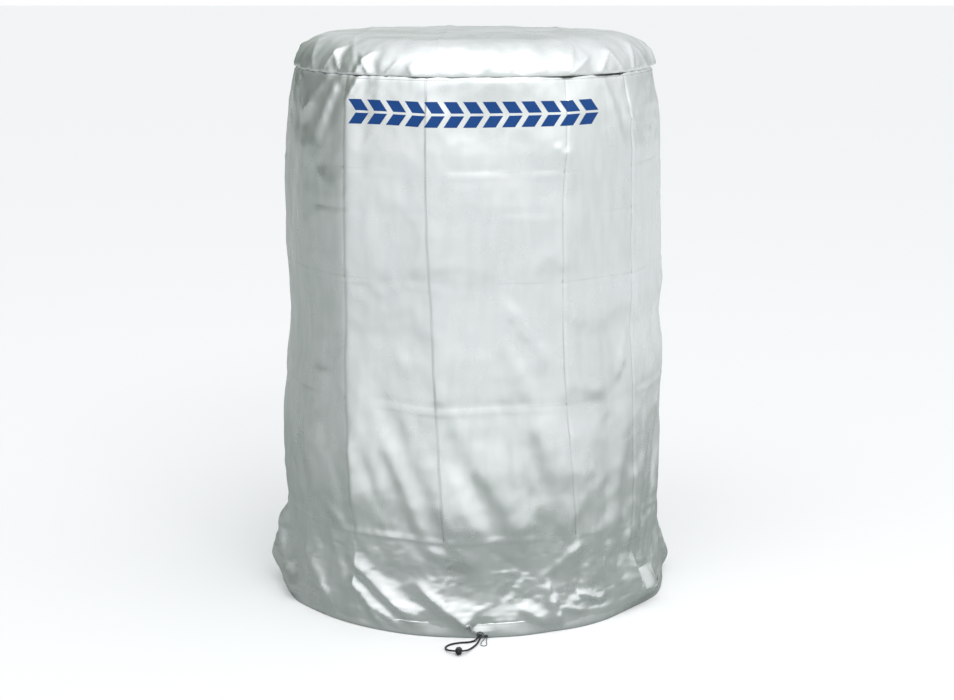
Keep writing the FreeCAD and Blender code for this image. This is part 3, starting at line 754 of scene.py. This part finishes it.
def stitches(name, path, length, gap, radius):
    """Row of thread dashes along a path of (point, normal): each dips into the cloth at both ends."""
    places = np.array([p for p, _ in path])
    normals = np.array([n for _, n in path])
    steps = np.linalg.norm(np.diff(places, axis=0), axis=1)
    along = np.concatenate([[0.0], np.cumsum(steps)])
    count = int(along[-1] / (length + gap))
    pitch = along[-1] / count
    vertices, faces = [], []
    profile = ((0.0, -0.9, 0.5), (0.16, 0.5, 1.0), (0.5, 0.9, 1.0), (0.84, 0.5, 1.0), (1.0, -0.9, 0.5))
    sides = 6
    for n in range(count):
        for share, rise, width in profile:
            s = n * pitch + share * (pitch - gap)
            centre = np.array([np.interp(s, along, places[:, c]) for c in range(3)])
            out = np.array([np.interp(s, along, normals[:, c]) for c in range(3)])
            ahead = np.array([np.interp(s + 0.001, along, places[:, c]) for c in range(3)]) - centre
            if np.linalg.norm(ahead) < 1e-7:
                ahead = centre - np.array([np.interp(s - 0.001, along, places[:, c]) for c in range(3)])
            across = np.cross(ahead, out)
            across /= np.linalg.norm(across)
            centre = centre + out * rise * radius
            for m in range(sides):
                turn = 2 * math.pi * m / sides
                vertices.append(centre + radius * width * (math.cos(turn) * across + math.sin(turn) * out))
        first = len(vertices) - sides * len(profile)
        for j in range(len(profile) - 1):
            for m in range(sides):
                k = (m + 1) % sides
                a = first + j * sides
                faces.append((a + m, a + k, a + sides + k, a + sides + m))
        faces.append(tuple(first + m for m in reversed(range(sides))))
        faces.append(tuple(first + (len(profile) - 1) * sides + m for m in range(sides)))
    return mesh_object(name, vertices, faces)


def ring_path(at, height, rise, step=0.5):
    """Path round the side at a height, rise above the cloth."""
    path = []
    for angle in np.arange(-180.0, 180.0 + step, step):
        point, normal = at(around(angle), height)
        path.append((point + normal * rise, normal))
    return path


# The printed graphic: two rows of leaning tread blocks, as in the CAD
PRINT_COLUMNS = 13
PRINT_PITCH = 0.031
PRINT_BLOCK = (0.021, 0.018)
PRINT_ROW_GAP = 0.004
PRINT_SLANT = 0.012
PRINT_STEPS = (12, 10)
PRINT_RISE = 0.00045
PRINT_RADIUS = 0.320            # radius of the wall at the print


def build_print(at):
    """Leaning blocks that lie on the cloth, each a small grid so that it follows the folds."""
    vertices, faces = [], []
    middle = (PRINT_LOW.z + PRINT_HIGH.z) / 2
    for row in (-1, 1):
        for column in range(PRINT_COLUMNS):
            left = (column - PRINT_COLUMNS / 2) * PRINT_PITCH
            first = len(vertices)
            for j in range(PRINT_STEPS[1] + 1):
                v = j / PRINT_STEPS[1]
                z = middle + row * (PRINT_ROW_GAP / 2 + v * PRINT_BLOCK[1])
                for i in range(PRINT_STEPS[0] + 1):
                    x = left + PRINT_BLOCK[0] * i / PRINT_STEPS[0] + PRINT_SLANT * (1.0 - v)
                    angle = math.degrees(math.asin(x / PRINT_RADIUS))
                    point, normal = at(angle, z)
                    point, normal = at(angle + math.degrees((x - point[0]) / PRINT_RADIUS), z)
                    vertices.append(point + normal * PRINT_RISE)
            width = PRINT_STEPS[0] + 1
            for j in range(PRINT_STEPS[1]):
                for i in range(PRINT_STEPS[0]):
                    a = first + j * width + i
                    quad = (a, a + 1, a + width + 1, a + width)
                    faces.append(quad if row > 0 else quad[::-1])
    return mesh_object("tread_print", vertices, faces)


# Section of the rolled hem as (radius, height) in mm, from the lip's inner edge over the outside
HEM_SECTION = (
    (343.6, 23.0), (344.0, 26.0), (344.7, 24.0), (345.6, 19.0), (346.6, 13.0), (347.1, 9.0), (347.5, 5.5),
    (347.4, 2.5), (346.8, 0.6), (345.5, 0.0), (343.2, 0.7), (342.1, 3.0), (342.0, 8.0), (342.6, 12.5),
    (343.2, 15.5), (343.4, 20.0))
HEM_COLUMNS = 620
HEM_FLOOR_ROW = 9


# Where the hem bulges out or draws in: angle, width in degrees and rise in metres
HEM_SWELLS = ((69.0, 7.0, 0.004), (-62.0, 8.0, 0.004), (52.0, 9.0, -0.006), (22.0, 6.0, -0.003))


def hem_wave(angle):
    """How far the gathered hem wanders outward, in metres. It stays put beside the eyelet."""
    points = on_cylinder(angle, HEM_RADIUS, 0.0)
    free = smooth(5.0, 14.0, np.abs(around(angle - 4.0)))
    swells = sum(rise * np.exp(-(around(angle - middle) / width) ** 2) for middle, width, rise in HEM_SWELLS)
    return free * (0.0016 * billow(points, 0.10, 31) + swells)


def hem_pucker(angle):
    """Small gathers of the cloth along the drawcord, about -1 to 1."""
    points = on_cylinder(angle, HEM_RADIUS, 0.0)
    free = smooth(2.5, 6.0, np.abs(around(angle - 3.0)))
    return (billow(points, 0.014, 33) + 0.6 * billow(points, 0.007, 34)) * free


def build_hem():
    """The rolled hem, which follows the skirt's tucks outside and swells at the eyelet."""
    angle = np.linspace(-180.0, 180.0, HEM_COLUMNS, endpoint=False)
    wave = hem_wave(angle)
    pucker = hem_pucker(angle)
    at_eyelet = np.exp(-(around(angle - 2.4) / 2.6) ** 2)
    rows = []
    for number, (radius, height) in enumerate(HEM_SECTION):
        outer = number < HEM_FLOOR_ROW
        section = np.full_like(angle, radius)
        if outer and 2.0 < height < 14.0:
            section += (349.4 - radius) * at_eyelet
        offset = wave + 0.0010 * math.sin(math.pi * min(height / 27.0, 1.0)) * pucker
        if outer:
            offset = offset + skirt(angle, np.full_like(angle, height * MM))
        rows.append(on_cylinder(angle, section * MM + offset, height * MM))
    points = np.array(rows[::-1] + rows[-1:])
    return mesh_object("hem_roll", points.reshape(-1, 3), ring_faces(*points.shape[:2]))


def hem_path(radius, height):
    """Path round the outside of the hem at a height, every half degree."""
    angle = np.arange(-180.0, 180.0 + 0.5, 0.5)
    wave = hem_wave(angle) + 0.0006 * hem_pucker(angle) + skirt(angle, np.full_like(angle, height))
    points = on_cylinder(angle, radius + wave, np.full_like(angle, height))
    normals = on_cylinder(angle, 1.0, 0.0 * angle)
    return list(zip(points, normals))


CAPTIVE_ANGLES = (2.6, 361.4)
CAPTIVE_RADIUS = 0.345
CAPTIVE_HEIGHT = 0.0066
DRAWCORD_RADIUS = 0.0015


def build_captive_cord():
    """The drawcord's hidden run inside the hem, from the eyelet round the back."""
    angle = np.linspace(*CAPTIVE_ANGLES, 420)
    path = on_cylinder(angle, CAPTIVE_RADIUS + hem_wave(around(angle)), np.full_like(angle, CAPTIVE_HEIGHT))
    vertices, faces = [], []
    sides = 8
    for a, centre in zip(angle, path):
        out = on_cylinder(a, 1.0, 0.0)
        for m in range(sides):
            turn = 2 * math.pi * m / sides
            spoke = math.cos(turn) * out + math.sin(turn) * np.array([0, 0, 1.0])
            vertices.append(centre + DRAWCORD_RADIUS * spoke)
    for j in range(len(angle) - 1):
        for m in range(sides):
            k = (m + 1) % sides
            faces.append((j * sides + m, (j + 1) * sides + m, (j + 1) * sides + k, j * sides + k))
    faces.append(tuple(range(sides)))
    last = (len(angle) - 1) * sides
    faces.append(tuple(last + m for m in reversed(range(sides))))
    return mesh_object("captive_cord", vertices, faces)


def back_angle(offset):
    """Angle of a line that runs offset metres beside the back seam, kept off the ends of the angle range."""
    if offset == 0:
        return 180.0 - 1e-6
    return around(180.0 + math.degrees(offset / BACK_RADIUS))


def build_back_tape(at):
    lines = []
    for height in np.linspace(*BACK_TAPE_ENDS, 220):
        line = []
        for offset in np.linspace(-BACK_TAPE_HALF_WIDTH, BACK_TAPE_HALF_WIDTH, 7):
            point, normal = at(back_angle(offset), height)
            line.append((point + normal * CLOTH_TO_TAPE, normal))
        lines.append(line)
    return tape_piece("back_tape", lines, BACK_TAPE_THICKNESS)


def build_back_stitches(at, number, offset):
    """One row of stitches along the back tape, offset in metres from its middle."""
    path = []
    for z in np.linspace(*BACK_STITCH_ENDS, 300):
        point, normal = at(back_angle(offset), z)
        path.append((point + normal * (CLOTH_TO_TAPE + BACK_TAPE_THICKNESS), normal))
    return stitches(f"back_stitches_{number}", path, STITCH_LENGTH, STITCH_GAP, THREAD_RADIUS)


def build_top_binding(at):
    """Tape folded over the seam allowance, inside the cover."""
    path = ring_path(at, SEAM_Z - 0.004, -0.0022, 1.0)[:-1]
    points = []
    for drop, depth in ((0.0, 0.0), (-0.013, 0.0), (-0.013, -0.0016), (0.0, -0.0016)):
        points.append([p + n * depth + np.array([0, 0, drop]) for p, n in path])
    points.append(points[0])
    points = np.array(points[::-1])
    return mesh_object("top_binding", points.reshape(-1, 3), ring_faces(*points.shape[:2]))


def build_bartack():
    """Dense zigzag of thread over both ends of the pull loop."""
    low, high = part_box("pull_loop_bartack")
    path = []
    face = (low.y + high.y) / 2
    turns = 11
    for n in range(turns * 2 + 1):
        x = low.x + 0.0003 + (high.x - low.x - 0.0006) * n / (turns * 2)
        z = low.z + 0.0005 if n % 2 else high.z - 0.0005
        path.append((np.array([x, face, z]), np.array([0.0, -1.0, 0.0])))
    return stitches("bartack_thread", path, 0.0050, 0.0003, 0.00032)


# --- Cords: the CAD's own routes, in metres --------------------------------------------------------
DRAWCORD_ROUTE = (
    (0.01035, -0.3503, 0.0066), (0.0070, -0.3620, 0.0026), (-0.0060, -0.3710, 0.0017),
    (-0.0220, -0.3725, 0.0017), (-0.0360, -0.3790, 0.0017), (-0.0450, -0.3900, 0.0017),
    (-0.0450, -0.4055, 0.0022), (-0.0330, -0.4220, 0.0063), (-0.0130, -0.4220, 0.0063),
    (-0.0050, -0.4040, 0.0022), (0.0035, -0.3865, 0.0017), (0.0100, -0.3680, 0.0021),
    (0.01365, -0.3503, 0.0066),
)
PULL_ROUTE = (
    (0.0204, -0.3502, 0.0034), (0.0184, -0.3572, 0.0012), (0.0149, -0.3655, 0.0008),
    (0.0132, -0.3740, 0.0008), (0.0133, -0.3830, 0.0008), (0.0178, -0.3857, 0.0008),
    (0.0223, -0.3830, 0.0008), (0.0229, -0.3745, 0.0008), (0.0220, -0.3660, 0.0008),
    (0.0226, -0.3580, 0.0012), (0.0232, -0.3502, 0.0034),
)


def cord_curve(name, route, diameter):
    curve = bpy.data.curves.new(name, "CURVE")
    curve.dimensions = "3D"
    curve.resolution_u = 12
    curve.bevel_depth = diameter / 2
    curve.bevel_resolution = 4
    curve.use_fill_caps = True
    spline = curve.splines.new("NURBS")
    spline.points.add(len(route) - 1)
    for point, place in zip(spline.points, route):
        point.co = (*place, 1.0)
    spline.order_u = 3
    spline.use_endpoint_u = True
    piece = bpy.data.objects.new(name, curve)
    bpy.context.scene.collection.objects.link(piece)
    return piece


# --- Materials -------------------------------------------------------------------------------------
def new_material(name, colour, roughness, metallic=0.0):
    material = bpy.data.materials.new(name)
    material.use_nodes = True
    shader = material.node_tree.nodes["Principled BSDF"]
    shader.inputs["Base Color"].default_value = (*colour, 1)
    shader.inputs["Roughness"].default_value = roughness
    shader.inputs["Metallic"].default_value = metallic
    return material, material.node_tree, shader


def darker(colour, share):
    return tuple(c * share for c in colour)


def value_map(tree, source, low_high, out):
    node = tree.nodes.new("ShaderNodeMapRange")
    node.interpolation_type = "SMOOTHSTEP"
    node.inputs["From Min"].default_value, node.inputs["From Max"].default_value = low_high
    node.inputs["To Min"].default_value, node.inputs["To Max"].default_value = out
    tree.links.new(source, node.inputs["Value"])
    return node.outputs["Result"]


def math_node(tree, operation, a, b):
    node = tree.nodes.new("ShaderNodeMath")
    node.operation = operation
    for socket, value in zip(node.inputs, (a, b)):
        if isinstance(value, (int, float)):
            socket.default_value = value
        else:
            tree.links.new(value, socket)
    return node.outputs[0]


def noise_value(tree, scale, detail=3.0, stretch=(1.0, 1.0, 1.0)):
    """Noise over the object's own coordinates. scale is about how many swells there are in a metre."""
    place = tree.nodes.new("ShaderNodeTexCoord")
    mapping = tree.nodes.new("ShaderNodeMapping")
    mapping.inputs["Scale"].default_value = stretch
    tree.links.new(place.outputs["Object"], mapping.inputs["Vector"])
    node = tree.nodes.new("ShaderNodeTexNoise")
    node.inputs["Scale"].default_value = scale
    node.inputs["Detail"].default_value = detail
    tree.links.new(mapping.outputs["Vector"], node.inputs["Vector"])
    return node.outputs["Fac"]


def weave_value(tree, pitch):
    """Plain weave over the UV map, which is in metres."""
    place = tree.nodes.new("ShaderNodeTexCoord")
    waves = []
    for direction in ("X", "Y"):
        wave = tree.nodes.new("ShaderNodeTexWave")
        wave.bands_direction = direction
        wave.inputs["Scale"].default_value = 0.314 / pitch
        wave.inputs["Distortion"].default_value = 0.0
        tree.links.new(place.outputs["UV"], wave.inputs["Vector"])
        waves.append(wave.outputs["Fac"])
    return math_node(tree, "MULTIPLY", *waves)


def add_bump(tree, shader, layers):
    """Bumps one on another: each layer is (height, strength, depth in metres)."""
    below = None
    for height, strength, depth in layers:
        node = tree.nodes.new("ShaderNodeBump")
        node.inputs["Strength"].default_value = strength
        node.inputs["Distance"].default_value = depth
        tree.links.new(height, node.inputs["Height"])
        if below:
            tree.links.new(below, node.inputs["Normal"])
        below = node.outputs["Normal"]
    tree.links.new(below, shader.inputs["Normal"])


def mixed_colour(tree, factor, first, second):
    node = tree.nodes.new("ShaderNodeMix")
    node.data_type = "RGBA"
    for socket, value in ((node.inputs[6], first), (node.inputs[7], second)):
        if isinstance(value, tuple):
            socket.default_value = (*value, 1)
        else:
            tree.links.new(value, socket)
    tree.links.new(factor, node.inputs[0])
    return node.outputs[2]


SILVER = (0.88, 0.90, 0.905)
SILVER_THIN = (0.80, 0.845, 0.825)
SILVER_MOTTLE = (0.93, 0.95, 0.945)
# Colours of the painted highlight and the painted shade along the creases
SILVER_PAINTED_HIGHLIGHT = (0.98, 0.98, 0.98)
SILVER_SHADOW = (0.30, 0.33, 0.32)


def silver_cloth():
    """Woven polyester with a silver coating that is greener where it is worn thin, with painted highlight and
    painted shade along the creases.
    """
    material, tree, shader = new_material("silver_cloth", SILVER, 0.30, 0.88)
    patches = value_map(tree, noise_value(tree, 5.0, 4.0), (0.35, 0.65), (0.0, 1.0))
    mottle = value_map(tree, noise_value(tree, 60.0, 1.0, (1.0, 1.0, 0.25)), (0.3, 0.7), (0.0, 0.5))
    colour = mixed_colour(tree, patches, SILVER, SILVER_THIN)
    colour = mixed_colour(tree, mottle, colour, SILVER_MOTTLE)
    # Painted highlight on one side of each crease and painted shade on the other, read from the crease
    # attribute
    mark = tree.nodes.new("ShaderNodeAttribute")
    mark.attribute_name = "painted_crease_light"
    painted_highlight_mask = value_map(tree, mark.outputs["Fac"], (0.15, 1.0), (0.0, 0.8))
    shadow = value_map(tree, mark.outputs["Fac"], (-1.0, -0.15), (0.55, 0.0))
    colour = mixed_colour(tree, painted_highlight_mask, colour, SILVER_PAINTED_HIGHLIGHT)
    colour = mixed_colour(tree, shadow, colour, SILVER_SHADOW)
    tree.links.new(colour, shader.inputs["Base Color"])
    roughness = value_map(tree, noise_value(tree, 14.0, 2.0), (0.3, 0.7), (0.25, 0.38))
    tree.links.new(roughness, shader.inputs["Roughness"])
    add_bump(tree, shader, (
        (noise_value(tree, 26.0, 1.0), 0.5, 0.0010),
        (noise_value(tree, 70.0, 0.5, (1.0, 1.0, 0.3)), 0.35, 0.0003),
        (weave_value(tree, 0.0009), 0.05, 0.0001)))
    return material


def printed_ink():
    material, tree, shader = new_material("blue_print", (0.003, 0.070, 0.30), 0.5)
    shader.inputs["Specular IOR Level"].default_value = 0.3
    worn = value_map(tree, noise_value(tree, 160.0, 4.0), (0.62, 0.80), (0.0, 0.35))
    ink = mixed_colour(tree, worn, (0.001, 0.055, 0.24), (0.02, 0.10, 0.30))
    tree.links.new(ink, shader.inputs["Base Color"])
    add_bump(tree, shader, ((noise_value(tree, 900.0, 2.0), 0.3, 0.0001),))
    return material


def woven_tape(name, colour):
    material, tree, shader = new_material(name, colour, 0.75)
    weave = noise_value(tree, 1400.0, 1.0, (1.0, 1.0, 0.35))
    yarn = mixed_colour(tree, weave, colour, darker(colour, 0.7))
    tree.links.new(yarn, shader.inputs["Base Color"])
    add_bump(tree, shader, ((weave, 0.6, 0.0003),))
    return material


def braided_cord(name, colour, twists, strands, gloss):
    """Braid that runs both ways round the cord, over the curve's own UV map."""
    material, tree, shader = new_material(name, colour, gloss)
    place = tree.nodes.new("ShaderNodeTexCoord")
    split = tree.nodes.new("ShaderNodeSeparateXYZ")
    tree.links.new(place.outputs["UV"], split.inputs[0])
    along = math_node(tree, "MULTIPLY", split.outputs["X"], 2 * math.pi * twists)
    around_cord = math_node(tree, "MULTIPLY", split.outputs["Y"], 2 * math.pi * strands)
    left = math_node(tree, "SINE", math_node(tree, "ADD", along, around_cord), 0.0)
    right = math_node(tree, "SINE", math_node(tree, "SUBTRACT", along, around_cord), 0.0)
    braid = math_node(tree, "MAXIMUM", left, right)
    # Painted shade: the colour darkens in the grooves between the strands
    shade = value_map(tree, braid, (-0.6, 0.9), (1.0, 0.0))
    braided = mixed_colour(tree, shade, colour, darker(colour, 0.35))
    tree.links.new(braided, shader.inputs["Base Color"])
    add_bump(tree, shader, ((braid, 0.7, 0.0004),))
    return material


def spun_thread(name, colour):
    material, tree, shader = new_material(name, colour, 0.55)
    twist = noise_value(tree, 2500.0, 1.0)
    yarn = mixed_colour(tree, twist, colour, darker(colour, 0.6))
    tree.links.new(yarn, shader.inputs["Base Color"])
    add_bump(tree, shader, ((twist, 0.5, 0.0001),))
    return material


def moulded_plastic():
    material, tree, shader = new_material("black_plastic", (0.014, 0.014, 0.015), 0.38)
    tree.links.new(
        value_map(tree, noise_value(tree, 400.0, 3.0), (0.3, 0.7), (0.30, 0.52)), shader.inputs["Roughness"])
    add_bump(tree, shader, ((noise_value(tree, 2200.0, 2.0), 0.25, 0.0001),))
    return material


def plated_metal(name, colour):
    material, tree, shader = new_material(name, colour, 0.28, 1.0)
    tree.links.new(
        value_map(tree, noise_value(tree, 900.0, 3.0, (1.0, 1.0, 6.0)), (0.3, 0.7), (0.20, 0.42)),
        shader.inputs["Roughness"])
    add_bump(tree, shader, ((noise_value(tree, 1500.0, 2.0), 0.15, 0.0001),))
    return material


# --- Put the pieces together -----------------------------------------------------------------------
def add_piece(piece, body, node, material):
    piece.data.materials.clear()
    piece.data.materials.append(material)
    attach(piece, body)
    if node:
        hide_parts(node)
    return piece


def build_cover():
    cloth = silver_cloth()
    ink = printed_ink()
    tape = woven_tape("grey_tape", (0.52, 0.54, 0.54))
    grey_thread = spun_thread("grey_thread", (0.42, 0.44, 0.44))
    black_thread = spun_thread("black_thread", (0.03, 0.03, 0.032))
    black_cord = braided_cord("black_cord", (0.018, 0.018, 0.020), 68, 4, 0.6)
    grey_cord = braided_cord("grey_cord", (0.20, 0.25, 0.22), 60, 3, 0.6)

    side, angle, height, points = build_side()
    at = side_surface(points, angle, height)
    top = build_top()
    add_piece(side, "cover", "side_panel", cloth)
    add_piece(top, "cover", "top_panel", cloth)
    hem = add_piece(build_hem(), "cover", "hem_casing", cloth)
    graphic = add_piece(build_print(at), "cover", "front_print", ink)
    binding = add_piece(build_top_binding(at), "cover", "top_seam_binding", tape)
    back_tape = add_piece(build_back_tape(at), "cover", "back_seam_tape", tape)

    top_path = ring_path(at, TOP_STITCH_HEIGHT, 0.0001)
    top_row = stitches("top_stitches", top_path, STITCH_LENGTH, STITCH_GAP, THREAD_RADIUS)
    low_path = hem_path(*HEM_STITCH_PLACE)
    hem_row = stitches("hem_stitches", low_path, STITCH_LENGTH, STITCH_GAP, THREAD_RADIUS)
    back_rows = [
        build_back_stitches(at, 1, -BACK_STITCH_OFFSET),
        build_back_stitches(at, 2, BACK_STITCH_OFFSET)]
    add_piece(top_row, "cover", "top_seam_stitching", grey_thread)
    add_piece(hem_row, "cover", "hem_stitching", grey_thread)
    for row in back_rows:
        add_piece(row, "cover", "back_seam_stitching", grey_thread)
    bartack = add_piece(build_bartack(), "cover", "pull_loop_bartack", black_thread)

    add_piece(build_captive_cord(), "cover", "hem_drawcord", black_cord)
    drawcord = cord_curve("drawcord", DRAWCORD_ROUTE, 0.003)
    add_piece(drawcord, "cover", "drawcord_loop", black_cord)
    pull = cord_curve("pull_cord", PULL_ROUTE, 0.0013)
    add_piece(pull, "cover", "pull_loop", grey_cord)

    plating = plated_metal("eyelet_metal", (0.42, 0.43, 0.44))
    plastic = moulded_plastic()
    steel = plated_metal("spring_steel", (0.5, 0.5, 0.5))
    kept_as_cad = (
        ("eyelet_patch", cloth), ("eyelet", plating), ("eyelet_washer", plating),
        ("cord_lock_barrel", plastic), ("cord_lock_plunger", plastic), ("cord_lock_spring", steel))
    for node, material in kept_as_cad:
        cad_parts[node].data.materials.clear()
        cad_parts[node].data.materials.append(material)


build_cover()


# --- Stage, light and camera -----------------------------------------------------------------------
def bright_side(tree, direction):
    """1 for what lies in front and to the right of the cover, falling to a little at the left and behind."""
    split = tree.nodes.new("ShaderNodeSeparateXYZ")
    tree.links.new(direction, split.inputs[0])
    half_depth = math_node(tree, "MULTIPLY", split.outputs["Y"], 0.5)
    front_right = math_node(tree, "SUBTRACT", split.outputs["X"], half_depth)
    return value_map(tree, front_right, (-1.10, -0.45), (0.22, 1.0))


FLOOR_SEEN = (0.97, 0.97, 0.97)
FLOOR_PAINTED_SHADE = (0.29, 0.315, 0.30)
FLOOR_FAR = (0.80, 0.81, 0.81)
FLOOR_FADE = (0.6, 2.6)        # distances between which the bounce goes from near to far
FLOOR_REACH = 30


def build_floor():
    """Pale floor. What it throws back on the cloth is dimmer than what the camera sees of it, as under a
    product on a dark sweep that is printed on white: painted shade near the cover and at its left and
    behind, fading to a brighter bounce far off in front and to the right."""
    floor = mesh_object("floor", floor_square(FLOOR_REACH), [(0, 1, 2, 3)])
    material, tree, shader = new_material("floor", FLOOR_SEEN, 0.9)
    shader.inputs["Specular IOR Level"].default_value = 0.0
    bounced = tree.nodes.new("ShaderNodeBsdfDiffuse")
    place = tree.nodes.new("ShaderNodeTexCoord")
    distance = tree.nodes.new("ShaderNodeVectorMath")
    distance.operation = "LENGTH"
    tree.links.new(place.outputs["Object"], distance.inputs[0])
    far = value_map(tree, distance.outputs["Value"], FLOOR_FADE, (0.0, 1.0))
    direction = tree.nodes.new("ShaderNodeVectorMath")
    direction.operation = "NORMALIZE"
    tree.links.new(place.outputs["Object"], direction.inputs[0])
    # Painted shade on the bounce: darkest near the cover and towards its left and back, brightest far off in
    # front and to the right
    bright = math_node(tree, "MULTIPLY", far, bright_side(tree, direction.outputs["Vector"]))
    tree.links.new(mixed_colour(tree, bright, FLOOR_PAINTED_SHADE, FLOOR_FAR), bounced.inputs["Color"])
    path = tree.nodes.new("ShaderNodeLightPath")
    mix = tree.nodes.new("ShaderNodeMixShader")
    tree.links.new(path.outputs["Is Camera Ray"], mix.inputs["Fac"])
    tree.links.new(bounced.outputs[0], mix.inputs[1])
    tree.links.new(shader.outputs[0], mix.inputs[2])
    tree.links.new(mix.outputs[0], tree.nodes["Material Output"].inputs["Surface"])
    floor.data.materials.append(material)


def area_light(name, place, target, size, power):
    """Lamp at a place, turned to a target, with its size in metres and its power in watts."""
    light = bpy.data.lights.new(name, "AREA")
    light.shape = "RECTANGLE"
    light.size, light.size_y = size
    light.energy = power
    lamp = bpy.data.objects.new(name, light)
    lamp.location = place
    lamp.rotation_euler = (Vector(target) - Vector(place)).to_track_quat("-Z", "Y").to_euler()
    bpy.context.scene.collection.objects.link(lamp)


WORLD_DIM = (0.80, 0.95, 0.83)
WORLD_BRIGHT = (0.97, 0.985, 1.0)


def build_world():
    """White to the camera. As light, a studio that is bright above and in front, and dim and greenish at
    the left and behind."""
    world = bpy.data.worlds.new("studio")
    bpy.context.scene.world = world
    world.use_nodes = True
    tree = world.node_tree
    place = tree.nodes.new("ShaderNodeTexCoord")
    split = tree.nodes.new("ShaderNodeSeparateXYZ")
    tree.links.new(place.outputs["Generated"], split.inputs[0])
    across = bright_side(tree, place.outputs["Generated"])
    upward = value_map(tree, split.outputs["Z"], (-0.30, 0.7), (0.70, 1.25))
    depth = value_map(tree, split.outputs["Y"], (-0.6, 0.9), (1.0, 0.62))
    light = math_node(tree, "MULTIPLY", math_node(tree, "MULTIPLY", across, upward), depth)
    brightness = value_map(tree, light, (0.2, 0.8), (0.0, 1.0))
    tint = mixed_colour(tree, brightness, WORLD_DIM, WORLD_BRIGHT)
    lit = tree.nodes["Background"]
    tree.links.new(tint, lit.inputs["Color"])
    tree.links.new(light, lit.inputs["Strength"])
    seen = tree.nodes.new("ShaderNodeBackground")
    seen.inputs["Color"].default_value = (1, 1, 1, 1)
    path = tree.nodes.new("ShaderNodeLightPath")
    mix = tree.nodes.new("ShaderNodeMixShader")
    tree.links.new(path.outputs["Is Camera Ray"], mix.inputs["Fac"])
    tree.links.new(lit.outputs[0], mix.inputs[1])
    tree.links.new(seen.outputs[0], mix.inputs[2])
    tree.links.new(mix.outputs[0], tree.nodes["World Output"].inputs["Surface"])


CAMERA_PLACE = (0.0067, -3.34, 1.14)
CAMERA_LENS = 71.7
CAMERA_SENSOR = 36.0
CAMERA_DOWN = 12.23            # degrees below level


def build_camera():
    camera = bpy.data.cameras.new("camera")
    camera.lens = CAMERA_LENS
    camera.sensor_width = CAMERA_SENSOR
    eye = bpy.data.objects.new("camera", camera)
    eye.location = CAMERA_PLACE
    eye.rotation_euler = (math.radians(90 - CAMERA_DOWN), 0, 0)
    bpy.context.scene.collection.objects.link(eye)
    bpy.context.scene.camera = eye


build_floor()
build_world()
area_light("key", (1.0, -3.0, 3.2), (0, 0, 0.6), (1.6, 1.0), 22)
area_light("top", (0.0, -1.2, 3.4), (0, 0, 0.9), (2.4, 1.0), 7)
build_camera()
bpy.context.scene.view_settings.view_transform = "Standard"
